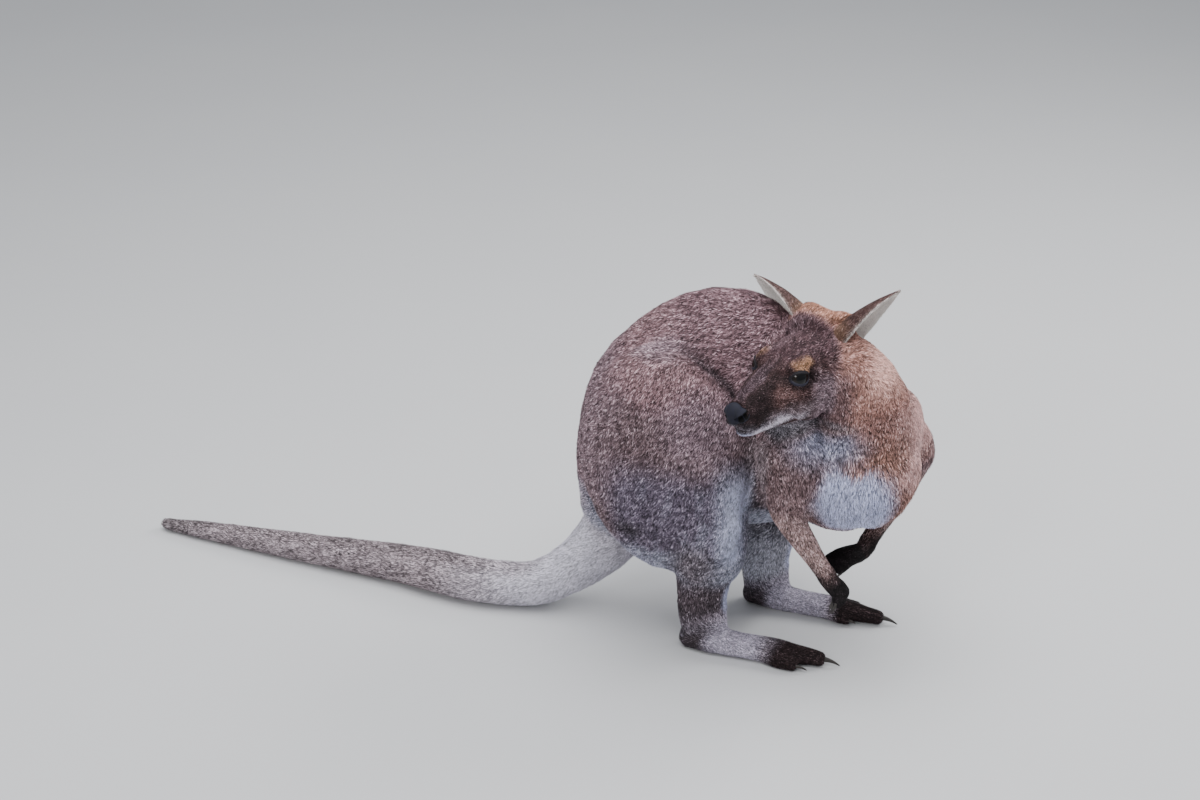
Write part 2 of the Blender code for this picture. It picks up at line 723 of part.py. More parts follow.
def set_in(made, whole):
    """Nose pad, ears, eyes and claws, each set against the body that carries it."""
    made["nose"], made["head"] = parted(
        made["head"], lambda gap: egg(HEAD @ Matrix.Translation(NOSE), NOSE_SIZE, gap)
    )
    for side in SIDES:
        made[f"ear_{side}"] = largest(without(applied(ear(side)), grown(whole, CUT / 2)))
        orbit = HEAD @ Matrix.Translation(EYE_CENTRE[side])
        made["head"] = largest(without(made["head"], egg(orbit, (EYE_RADIUS,) * 3, CUT / 2)))
        made[f"eye_{side}"] = egg(orbit, (EYE_RADIUS,) * 3)
    for name, horn in claws().items():
        made[name] = largest(without(horn, grown(whole, CUT / 2)))
    bpy.data.objects.remove(whole)


def nodes():
    """Every named part of the animal."""
    made = {}
    whole = body()
    rest = head_and_tail(grown(whole, 0.0), made)
    for side in SIDES:
        rest = forelimb_parts(rest, made, side)
        rest = hind_limb_parts(rest, made, side)
    made["trunk"] = rest
    set_in(made, whole)
    return made


def finish_of(name):
    """Which finish a part wears."""
    kinds = {"claw": "claw", "eye": "eye", "nose": "nose", "neck": "rufous", "upper": "rufous", "ear": "rufous"}
    kinds.update({"hand": "dark", "foot": "pale", "tail": "pale"})
    return kinds.get(name.split("_")[0], "grizzled")


# ---------------------------------------------------------------- the model, centred over its own footprint
for old in list(bpy.data.objects):
    bpy.data.objects.remove(old)
PARTS = nodes()
CORNERS = np.array([vertex.co for part in PARTS.values() for vertex in part.data.vertices])
LOW, HIGH = CORNERS.min(axis=0), CORNERS.max(axis=0)
ORIGIN = Vector(((LOW[0] + HIGH[0]) / 2, (LOW[1] + HIGH[1]) / 2, LOW[2]))
LOOKS = finishes()
for part_name, part in PARTS.items():
    part.name = part_name
    part.data.name = part_name
    placed(part, Matrix.Translation(-ORIGIN))
    part.data.materials.clear()
    part.data.materials.append(LOOKS[finish_of(part_name)])
    part.data.polygons.foreach_set("use_smooth", [True] * len(part.data.polygons))
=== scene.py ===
"""A life-size still wallaby: skin, head, eyes, nose, ears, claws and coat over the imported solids."""

import math

import bmesh
import bpy
import numpy as np
from mathutils import Matrix, Vector
from mathutils.bvhtree import BVHTree


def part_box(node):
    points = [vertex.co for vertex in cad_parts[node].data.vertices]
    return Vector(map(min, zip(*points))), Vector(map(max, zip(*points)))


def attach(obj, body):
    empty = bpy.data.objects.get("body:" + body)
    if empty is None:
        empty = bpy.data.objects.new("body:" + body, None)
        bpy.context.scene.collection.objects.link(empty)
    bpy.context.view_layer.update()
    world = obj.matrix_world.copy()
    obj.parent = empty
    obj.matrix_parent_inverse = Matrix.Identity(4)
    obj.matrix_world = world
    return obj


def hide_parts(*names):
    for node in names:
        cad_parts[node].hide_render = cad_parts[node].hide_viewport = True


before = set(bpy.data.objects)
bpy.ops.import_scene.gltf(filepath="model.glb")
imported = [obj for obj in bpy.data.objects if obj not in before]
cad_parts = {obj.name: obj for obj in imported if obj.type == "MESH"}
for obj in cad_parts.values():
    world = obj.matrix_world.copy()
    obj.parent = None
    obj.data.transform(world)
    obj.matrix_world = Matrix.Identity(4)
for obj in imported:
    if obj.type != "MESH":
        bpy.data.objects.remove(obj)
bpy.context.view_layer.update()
bpy.ops.object.select_all(action="DESELECT")


# ---------------------------------------------------------------- the flesh
# One continuous skin over trunk, neck, head, limbs and tail. It is fused from copies of the packed
# parts, with the skull's own forms laid over them finely enough to carry lips, orbits and lids.
SIDES = {"r": -1, "l": 1}  # sign of y in the body and in the head
FLESH_GRAIN = 0.0032
HEAD_GROWTH, PART_GROWTH = -0.0025, 0.0006  # of the copied parts, so that they merge under the skull's forms
NOSE_TIP = Vector((0.2982, -0.1461, 0.4145))
HEAD = (
    Matrix.Translation(NOSE_TIP)
    @ Matrix.Rotation(math.radians(-124), 4, "Z")
    @ Matrix.Rotation(math.radians(-2), 4, "Y")
    @ Matrix.Rotation(math.radians(4), 4, "X")
)
LIMB_PARTS = ("upper_arm", "forearm", "hand", "thigh", "shank", "foot")
FLESH = ["head", "neck", "trunk", "tail_base", "tail_middle", "tail_tip"]
FLESH += [f"{part}_{side}" for side in SIDES for part in LIMB_PARTS]


def placed(name, data):
    """The data as an object of the scene."""
    piece = bpy.data.objects.new(name, data)
    bpy.context.scene.collection.objects.link(piece)
    return piece


def made(name, mesh):
    """The bmesh as an object of the scene."""
    data = bpy.data.meshes.new(name)
    mesh.to_mesh(data)
    mesh.free()
    return placed(name, data)


def eased(stations, steps):
    """The stations with steps - 1 more between each pair, on a smooth curve through them."""
    s = np.array(stations, float)
    s = np.vstack([2 * s[0] - s[1], s, 2 * s[-1] - s[-2]])
    rows = []
    for i in range(1, len(s) - 2):
        for t in np.arange(steps) / steps:
            a, b, c, d = s[i - 1 : i + 3]
            bend = (2 * a - 5 * b + 4 * c - d) * t**2 + (3 * b - a - 3 * c + d) * t**3
            rows.append(0.5 * (2 * b + (c - a) * t + bend))
    return np.array(rows + [s[-2]])


def walled(mesh, loops):
    """Quads between each closed loop of vertices and the next."""
    faces = []
    for one, two in zip(loops, loops[1:]):
        corners = zip(one, one[1:] + one[:1], two[1:] + two[:1], two)
        faces += [mesh.faces.new(quad) for quad in corners]
    return faces


def tube(mesh, stations, facing, sides=24, steps=5, ends=(0.6, 0.6), place=Matrix.Identity(4)):
    """Adds a closed tube. A station is x, y, z, half width, reach towards facing, reach away from it."""
    rows = eased(stations, steps)
    way = np.gradient(rows[:, :3], axis=0)
    way /= np.linalg.norm(way, axis=1)[:, None]
    rings = []
    for row, ahead in zip(rows, way):
        side = np.cross(ahead, np.array(facing, float))
        side /= np.linalg.norm(side)
        rings.append((row[:3], ahead, side, np.cross(side, ahead), *np.maximum(row[3:6], 0.0002)))
    for first, sign, bulge in ((0, -1, ends[0]), (-1, 1, ends[1])):
        centre, ahead, side, up, wide, front, back = rings[first]
        reach = bulge * min(wide, (front + back) / 2)
        caps = []
        for angle in (22, 44, 64, 80):
            shrink = math.cos(math.radians(angle))
            shift = math.sin(math.radians(angle)) * reach * sign
            caps.append((centre + ahead * shift, ahead, side, up, wide * shrink, front * shrink, back * shrink))
        rings = caps[::-1] + rings if sign < 0 else rings + caps
    loops = []
    for centre, ahead, side, up, wide, front, back in rings:
        loop = []
        for k in range(sides):
            c, s = math.cos(math.tau * k / sides), math.sin(math.tau * k / sides)
            rise = up * (front if s > 0 else back) * s
            loop.append(mesh.verts.new(place @ Vector(centre + side * wide * c + rise)))
        loops.append(loop)
    faces = [mesh.faces.new(loops[0][::-1]), mesh.faces.new(loops[-1])] + walled(mesh, loops)
    bmesh.ops.recalc_face_normals(mesh, faces=faces)


def ball(mesh, centre, sizes, pitch=0.0, place=Matrix.Identity(4)):
    """Adds an ellipsoid with these half sizes, tipped by degrees about Y."""
    tip = Matrix.Rotation(math.radians(pitch), 4, "Y")
    where = place @ Matrix.Translation(centre) @ tip @ Matrix.Diagonal((*sizes, 1))
    bmesh.ops.create_uvsphere(mesh, u_segments=32, v_segments=20, radius=1, matrix=where)


def shaped(piece, name, kind, **settings):
    """Gives the piece a modifier with these settings, and applies it."""
    modifier = piece.modifiers.new(name, kind)
    for setting, value in settings.items():
        setattr(modifier, setting, value)
    bpy.context.view_layer.objects.active = piece
    bpy.ops.object.modifier_apply(modifier=modifier.name)


def fused(name, mesh, grain):
    """One closed surface round all the forms in the bmesh."""
    piece = made(name, mesh)
    shaped(piece, "fuse", "REMESH", mode="VOXEL", voxel_size=grain)
    return piece


def head_forms(mesh):
    """Skull, jaw, lips, cheeks, orbits, brows and ear roots. x is 0 at the nose tip, falling to the nape."""
    skull = (
        (-0.010, 0, -0.0065, 0.0130, 0.0130, 0.0120),
        (-0.024, 0, -0.0065, 0.0160, 0.0190, 0.0180),
        (-0.045, 0, -0.001, 0.0205, 0.0245, 0.0250),
        (-0.070, 0, 0.003, 0.0275, 0.0325, 0.0310),
        (-0.090, 0, 0.005, 0.0330, 0.0405, 0.0350),
        (-0.115, 0, 0.007, 0.0380, 0.0465, 0.0400),
        (-0.140, 0, 0.007, 0.0370, 0.0480, 0.0400),
        (-0.160, 0, 0.006, 0.0310, 0.0420, 0.0360),
    )
    jaw = (
        (-0.021, 0, -0.0270, 0.0080, 0.006, 0.0090),
        (-0.034, 0, -0.0285, 0.0110, 0.008, 0.0115),
        (-0.060, 0, -0.0270, 0.0155, 0.012, 0.0140),
        (-0.090, 0, -0.0240, 0.0225, 0.018, 0.0200),
        (-0.122, 0, -0.0180, 0.0295, 0.022, 0.0255),
    )
    nape = ((-0.156, -0.008, 0.052), (0.028, 0.036, 0.021))
    paired = (
        # place on the left side, half sizes, pitch
        ((-0.108, 0.0265, -0.006), (0.034, 0.0150, 0.031), 0),  # cheek
        ((-0.097, 0.0255, 0.009), (0.026, 0.0105, 0.013), 0),  # cheek bone
        ((-0.087, 0.0225, 0.0220), (0.021, 0.0115, 0.0150), 0),  # orbit
        ((-0.089, 0.0235, 0.0325), (0.020, 0.0090, 0.0085), 18),  # brow
        ((-0.027, 0.0092, -0.0180), (0.019, 0.0078, 0.0090), 0),  # upper lip
        ((-0.147, 0.0240, 0.0400), (0.018, 0.015, 0.019), 0),  # ear root
        ((-0.163, 0.0230, 0.0600), (0.017, 0.015, 0.0155), 0),  # back of the ear root
    )
    tube(mesh, skull, (0, 0, 1), sides=40, steps=8, ends=(0.75, 0.6), place=HEAD)
    tube(mesh, jaw, (0, 0, 1), sides=32, steps=8, place=HEAD)
    ball(mesh, *nape, place=HEAD)
    for sign in SIDES.values():
        for (x, aside, z), sizes, pitch in paired:
            ball(mesh, (x, aside * sign, z), sizes, pitch, HEAD)


def taken(mesh, name, grow):
    """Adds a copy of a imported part, its loose triangles merged, grown along its normals."""
    copy = bmesh.new()
    copy.from_mesh(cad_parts[name].data)
    bmesh.ops.remove_doubles(copy, verts=copy.verts, dist=0.00002)
    copy.normal_update()
    moved = [vertex.co + vertex.normal * grow for vertex in copy.verts]
    for vertex, place in zip(copy.verts, moved):
        vertex.co = place
    data = bpy.data.meshes.new(name)
    copy.to_mesh(data)
    copy.free()
    mesh.from_mesh(data)
    bpy.data.meshes.remove(data)


def rows_of(items, field, wide=3, kind=float):
    """One field of all the items of a mesh, a row for each."""
    values = np.empty(len(items) * wide, kind)
    items.foreach_get(field, values)
    return values.reshape(-1, wide)


def points_of(piece):
    return rows_of(piece.data.vertices, "co")


def normals_of(piece):
    return rows_of(piece.data.vertices, "normal")


def edges_of(piece):
    return rows_of(piece.data.edges, "vertices", 2, int)


def relaxed(values, edges, repeats, share=0.5):
    """Values at the vertices, each carried a share of the way to its neighbours' mean, again and again."""
    values = np.array(values, float)
    flat = values.reshape(len(values), -1)
    share = np.broadcast_to(share, len(values))[:, None]
    count = np.bincount(edges.ravel(), minlength=len(values))[:, None]
    for _ in range(repeats):
        total = np.empty_like(flat)
        for k in range(flat.shape[1]):
            total[:, k] = np.bincount(edges[:, 0], flat[edges[:, 1], k], len(values))
            total[:, k] += np.bincount(edges[:, 1], flat[edges[:, 0], k], len(values))
        flat += (total / np.maximum(count, 1) - flat) * share
    return flat.reshape(values.shape)


def moved_to(piece, points):
    piece.data.vertices.foreach_set("co", np.ascontiguousarray(points).ravel())
    piece.data.update()


def smooth(piece):
    piece.data.polygons.foreach_set("use_smooth", [True] * len(piece.data.polygons))


def in_head(points):
    """The points in the head's own frame."""
    back = np.array(HEAD.inverted())
    return points @ back[:3, :3].T + back[:3, 3]


def from_head(points):
    """Points of the head's own frame, back in the row's."""
    row = np.array(HEAD)
    return points @ row[:3, :3].T + row[:3, 3]


def ramp(value, low, high):
    """0 below low, 1 above high, smooth between; falling where low is the larger."""
    t = np.clip((value - low) / (high - low), 0, 1)
    return t * t * (3 - 2 * t)


flesh = bmesh.new()
for part in FLESH:
    taken(flesh, part, HEAD_GROWTH if part == "head" else PART_GROWTH)
head_forms(flesh)
skin = fused("skin", flesh, FLESH_GRAIN)


# ---------------------------------------------------------------- the skin's fine shape
# The skin lies under the coat by the coat's depth. It is finer over the head, where the eye sockets,
# the line between the lips and the seat of the nose pad are pressed into it.
EYE_RADIUS = 0.0118
EYE = {side: Vector((-0.0850, 0.0254 * sign, 0.0212)) for side, sign in SIDES.items()}
EYE_OUT = {side: Vector((0.372, 0.898 * sign, 0.233)).normalized() for side, sign in SIDES.items()}
OPENING = (63.0, 26.0, 32.0)  # half angles of the open lids: along, up to the brow, down to the cheek
OPENING_ROUND = (2.3, 1.8)  # 2 would be an ellipse, more is flatter, less is more pointed
FACE_CENTRE = (-0.085, 0, 0)  # in the head's frame, as the boxes and the seat below are
FINE_BOXES = (((-0.172, -0.062, -0.06), (0.05, 0.062, 0.08)), ((-0.100, -0.050, -0.05), (0.05, 0.050, 0.05)))
NOSE_SEAT, NOSE_SEAT_SIZE = (-0.0105, 0, -0.0060), (0.0125, 0.0135, 0.0120)
NOSE_SEAT_FOOT, NOSE_SEAT_DEPTH = (-0.028, 0, -0.007), 0.34  # drawn back by this share of the way to the foot
PLAIN_FACES = 0.46  # share of the faces kept where the skin is plain
LIP_DEPTH, HAUNCH_FOLD, ARM_FOLD = 0.0016, 0.0075, 0.0040
SOCKET_GAP, SOCKET_RISE = -0.0020, 0.0030  # of the socket's wall from the eyeball, inside the lids and outside


def eye_frame(side):
    """Axes of one eye in the head's frame: forwards along the lids, up across them, outwards."""
    out = np.array(EYE_OUT[side])
    ahead = np.array((1.0, 0.0, 0.15))
    ahead -= out * ahead.dot(out)
    ahead /= np.linalg.norm(ahead)
    up = np.cross(out, ahead)
    return ahead, up * np.sign(up[2]), out


def lid_angle(turn):
    """Half angle of the lid opening towards a turn about the eye's axis, in degrees."""
    upper = np.sin(turn) > 0
    c = np.abs(np.cos(turn)) / OPENING[0]
    s = np.abs(np.sin(turn)) / np.where(upper, OPENING[1], OPENING[2])
    bow = np.where(upper, *OPENING_ROUND)
    return (c**bow + s**bow) ** (-1 / bow)


def past_lids(head_points, side):
    """Degrees past the lids' edge as seen from the eye's centre, and the distance from that centre."""
    away = head_points - np.array(EYE[side])
    far = np.linalg.norm(away, axis=1)
    ahead, up, out = eye_frame(side)
    tip = np.degrees(np.arccos(np.clip(away @ out / np.maximum(far, 1e-9), -1, 1)))
    return tip - lid_angle(np.arctan2(away @ up, away @ ahead)), far


def finer(piece, low, high):
    """Splits the faces whose centres lie in this box of the head's frame."""
    mesh = bmesh.new()
    mesh.from_mesh(piece.data)
    centres = in_head(np.array([face.calc_center_median() for face in mesh.faces]))
    picked = np.all((centres > low) & (centres < high), axis=1)
    edges = {edge for face, take in zip(mesh.faces, picked) if take for edge in face.edges}
    bmesh.ops.subdivide_edges(mesh, edges=list(edges), cuts=1, use_grid_fill=True)
    mesh.to_mesh(piece.data)
    mesh.free()


def owners(points):
    """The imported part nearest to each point, as an index into FLESH."""
    corners, faces, owner = [], [], []
    for index, name in enumerate(FLESH):
        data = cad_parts[name].data
        start = len(corners)
        corners += [vertex.co.copy() for vertex in data.vertices]
        faces += [[start + k for k in face.vertices] for face in data.polygons]
        owner += [index] * len(data.polygons)
    tree = BVHTree.FromPolygons(corners, faces)
    return np.array([owner[tree.find_nearest(point)[2]] for point in points])


points = points_of(skin)
broad = 1 - ramp(np.linalg.norm(in_head(points) - FACE_CENTRE, axis=1), 0.115, 0.085)
ends = [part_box(f"{part}_{side}") for side in SIDES for part in ("hand", "foot")]
for low, high in ends:
    inside = np.all((points > np.array(low) - 0.01) & (points < np.array(high) + 0.01), axis=1)
    broad[inside] = 0.1
moved_to(skin, relaxed(points, edges_of(skin), 14, 0.6 * broad))
plain = skin.vertex_groups.new(name="plain")
plain.add(np.flatnonzero(broad > 0.5).tolist(), 1.0, "REPLACE")
shaped(skin, "thin", "DECIMATE", vertex_group="plain", ratio=PLAIN_FACES)
skin.vertex_groups.clear()

for low, high in FINE_BOXES:
    finer(skin, low, high)
points = points_of(skin)
on_head = ramp(np.linalg.norm(in_head(points) - FACE_CENTRE, axis=1), 0.125, 0.095)
moved_to(skin, relaxed(points, edges_of(skin), 4, 0.5 * on_head))

# Coat by part: hair length, lift as a share of the length, hair width, way of the hair.
COAT = {
    "head": (0.0050, 0.22, 0.0007, HEAD.to_3x3() @ Vector((-1, 0, -0.1))),
    "neck": (0.0064, 0.30, 0.0008, Vector((0.05, 0.25, -1))),
    "trunk": (0.0062, 0.31, 0.0009, Vector((-1, 0, -0.55))),
    "tail_base": (0.0085, 0.24, 0.0009, Vector((-1, 0, -0.75))),
    "tail_middle": (0.0070, 0.24, 0.0008, Vector((-1, 0.02, 0))),
    "tail_tip": (0.0066, 0.24, 0.0008, Vector((-1, 0.18, 0))),
    "upper_arm": (0.0060, 0.28, 0.0008, Vector((0.1, -0.1, -1))),
    "forearm_r": (0.0052, 0.18, 0.0008, Vector((0.057, -0.006, -0.083))),
    "forearm_l": (0.0052, 0.18, 0.0008, Vector((-0.034, -0.070, -0.048))),
    "hand_r": (0.0034, 0.16, 0.0007, Vector((0.0, -0.006, -0.03))),
    "hand_l": (0.0034, 0.16, 0.0007, Vector((-0.03, -0.02, -0.006))),
    "thigh": (0.0063, 0.31, 0.0009, Vector((-0.5, 0, -1))),
    "shank": (0.0062, 0.20, 0.0008, Vector((0, 0, -1))),
    "foot": (0.0042, 0.18, 0.0007, Vector((0.95, 0, -0.3))),
}


def coat_of(name):
    return COAT[name] if name in COAT else COAT[name.rsplit("_", 1)[0]]


def blob(points, centre, sizes, soft=0.5):
    """1 inside an ellipsoid, 0 outside it, soft between."""
    away = np.sqrt((((points - np.array(centre)) / np.array(sizes)) ** 2).sum(axis=1))
    return ramp(away, 1 + soft, 1 - soft)


points = points_of(skin)
edges = edges_of(skin)
outwards = normals_of(skin)
owner = owners(points)
names = np.array(FLESH)[owner]
of_head = names == "head"
length, lift, width = np.array([coat_of(name)[:3] for name in FLESH])[owner].T
flow = np.array([coat_of(name)[3].normalized() for name in FLESH])[owner]
hx, hy, hz = in_head(points).T

# The hair is shorter on the face and shortest on the muzzle, and longer in the ruff of the chest.
face = ramp(hx, -0.125, -0.070) * of_head
muzzle = ramp(hx, -0.075, -0.020) * of_head
length = length * (1 - 0.35 * face) * (1 - 0.40 * muzzle)
ruff = blob(points, (0.440, -0.080, 0.290), (0.055, 0.060, 0.060))
length = length * (1 + 0.55 * ruff)
length, lift, width = relaxed(np.stack([length, lift, width], axis=1), edges, 40).T

# It runs back over the crown, back and down from the lips, and straight down the chest.
crown = ramp(hz, 0.020, 0.045) * ramp(hx, -0.225, -0.195)
crown *= ramp(hy, -0.060, -0.035) * np.isin(names, ("head", "neck"))
lips = ramp(hz, -0.012, -0.030) * ramp(hx, -0.110, -0.085) * of_head
chest = ramp(points[:, 0], 0.330, 0.390) * (names == "trunk")
for way, mask in (
    (HEAD.to_3x3() @ Vector((-1, 0, -0.2)), crown),
    (HEAD.to_3x3() @ Vector((-0.8, 0, -0.6)), lips),
    ((0.05, -0.1, -1.0), chest),
):
    flow += (np.array(way) - flow) * mask[:, None]
flow = relaxed(flow, edges, 120)
depth = relaxed(length * lift * 1.05, edges, 10)
points = points - outwards * depth[:, None]

# How much of each point belongs to each region of the body, soft over a centimetre or so.
REGIONS = ("head", "neck", "trunk", "tail", "upper", "fore", "hand", "thigh", "shank", "foot")
shares = np.stack([np.char.startswith(names, region) for region in REGIONS], axis=1).astype(float)
shares = relaxed(shares, edges, 40)


def crease(one, other):
    """1 along the line where two regions of the body meet."""
    return np.clip(4 * one * other, 0, 1) ** 2


def drawn(head_points, centre, scale):
    """The points of the head scaled about a centre, each by its own scale, in the row's frame."""
    return from_head(np.array(centre) + (head_points - np.array(centre)) * scale[:, None])


# The fold where the haunch stands off the flank, and the one behind the upper arm.
region = dict(zip(REGIONS, shares.T))
fold = crease(region["thigh"], region["trunk"] + region["upper"])
fold = fold * ramp(points[:, 2], 0.13, 0.19) * ramp(points[:, 0], 0.165, 0.215)
points = points - outwards * (HAUNCH_FOLD * fold)[:, None]
arm_fold = crease(region["upper"], region["trunk"])
arm_fold *= ramp(points[:, 2], 0.345, 0.315) * ramp(points[:, 1], -0.02, -0.05)
points = points - outwards * (ARM_FOLD * arm_fold)[:, None]

# The line between the lips, and the sockets, each a hollow a little wider than its eyeball.
hx, hy, hz = in_head(points).T
lip_height = -0.0275 + 0.003 * ramp(hx, -0.020, -0.064)
lip = np.exp(-(((hz - lip_height) / 0.0013) ** 2)) * (ramp(hx, -0.070, -0.058) * ramp(hx, -0.006, -0.012)) * of_head
points = points - outwards * (LIP_DEPTH * lip)[:, None]
for side in SIDES:
    head_points = in_head(points)
    past, far = past_lids(head_points, side)
    socket = EYE_RADIUS + SOCKET_GAP + SOCKET_RISE * ramp(past, 13, 19)
    blend = ramp(past, 46, 18) * (far < 0.030)
    points = drawn(head_points, EYE[side], (far + (socket - far) * blend) / np.maximum(far, 1e-9))

# The end of the muzzle is drawn back to make a seat for the nose pad.
head_points = in_head(points)
seat = np.linalg.norm((head_points - NOSE_SEAT) / NOSE_SEAT_SIZE, axis=1)
points = drawn(head_points, NOSE_SEAT_FOOT, 1 - NOSE_SEAT_DEPTH * ramp(seat, 1.12, 0.88))
moved_to(skin, points)
smooth(skin)
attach(skin, "root")
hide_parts(*FLESH)


# ---------------------------------------------------------------- the markings
# Skin and hair share one set of markings: grizzled brown back, rufous neck, white lip stripe and
# chest, tan brows, black hands, nose and toes, and a tail that is whitish at its base.
# Painted light and shade lie in the same markings: highlights on the tops of the back and haunch, the crown's edge,
# the neck's top and the chest's front, and painted shade in the haunch fold, between arm and haunch, low on the rump
# and on the neck under the head.
BROWN_BACK = (0.235, 0.138, 0.156)
# painted highlight: lighter brown where the tops of the back and haunch face the overhead light
BROWN_TOP_HIGHLIGHT = (0.300, 0.178, 0.190)
BROWN_RUMP = (0.262, 0.180, 0.205)
BROWN_HAUNCH = (0.178, 0.117, 0.128)
# lighter fur on the haunch's top ridge, with a painted highlight from the overhead light
HAUNCH_RIDGE_HIGHLIGHT = (0.295, 0.206, 0.242)
HAUNCH_PALE = (0.740, 0.775, 1.000)
# painted highlight along the top line of the back
SPINE_HIGHLIGHT = (0.400, 0.310, 0.360)
GREY_HAUNCH = (0.148, 0.122, 0.170)
# painted shade: near black, for the low rump and the fold between haunch and flank
DEEP_SHADE = (0.045, 0.036, 0.044)
# painted shade on the flank between the haunch and the arm
SHADE_BETWEEN_LIMBS = (0.080, 0.060, 0.070)
PALE_GREY = (0.420, 0.430, 0.540)
RUFOUS = (0.400, 0.203, 0.163)
# paler rufous fur on the top of the neck, brightened more as a painted highlight
RUFOUS_PALE_HIGHLIGHT = (0.930, 0.550, 0.470)
# painted shade on the neck below and behind the head
NECK_SHADE = (0.190, 0.108, 0.108)
# painted rim light on the forward-facing chest, along the body's lit edge
CHEST_RIM_HIGHLIGHT = (0.900, 0.560, 0.530)
CHEST_DARK = (0.310, 0.160, 0.125)
THROAT = (0.340, 0.345, 0.470)
WHITE = (0.640, 0.670, 0.920)
UPPER_ARM = (0.218, 0.138, 0.144)
ARM_BACK = (0.300, 0.235, 0.255)
ELBOW = (0.480, 0.320, 0.305)
FOREARM = (0.400, 0.265, 0.250)
KNEE = (0.128, 0.100, 0.114)
SHANK = (0.085, 0.065, 0.075)
SHANK_PALE = (0.750, 0.760, 0.880)
FOOT = (0.560, 0.510, 0.620)
TOE_BROWN = (0.170, 0.130, 0.140)
TAIL_GREY = (0.430, 0.355, 0.380)
TAIL_PALE = (0.925, 0.890, 1.000)
TAIL_RIDGE = (0.210, 0.170, 0.180)
TAIL_END = (0.130, 0.110, 0.115)
FACE = (0.066, 0.034, 0.034)
CHEEK = (0.262, 0.180, 0.206)
FOREHEAD = (0.080, 0.042, 0.048)
# paler hairs along the top edge of the forehead and crown, brightened as a painted highlight
CROWN_RIDGE_HIGHLIGHT = (0.230, 0.150, 0.170)
GOLD = (0.400, 0.190, 0.130)
TAN = (0.470, 0.250, 0.140)
TAWNY = (0.160, 0.086, 0.080)
MUZZLE_RIDGE = (0.076, 0.047, 0.056)
DARK = (0.028, 0.016, 0.017)
BLACK = (0.010, 0.007, 0.008)
LIP_WHITE = (0.960, 0.870, 1.000)
LIP_GREY = (0.400, 0.320, 0.360)
JAW_GREY = (0.330, 0.310, 0.350)
CHIN_GREY = (0.120, 0.105, 0.125)


def waves(points, size, seed, count=6):
    """A smooth random field, about -1 to 1, whose lumps are about this size."""
    rng = np.random.default_rng(seed)
    ways = rng.normal(size=(count, 3))
    ways *= (rng.uniform(0.6, 1.5, count) / np.linalg.norm(ways, axis=1))[:, None]
    phase = points @ ways.T * (math.tau / (size * 2)) + rng.uniform(0, math.tau, count)
    return np.sin(phase).sum(axis=1) / math.sqrt(count)


def painted(colour, *layers):
    """Each layer is a colour and how strongly it covers what lies under it, point by point."""
    for over, mask in layers:
        colour = colour + (np.array(over) - colour) * np.clip(mask, 0, 1)[:, None]
    return colour


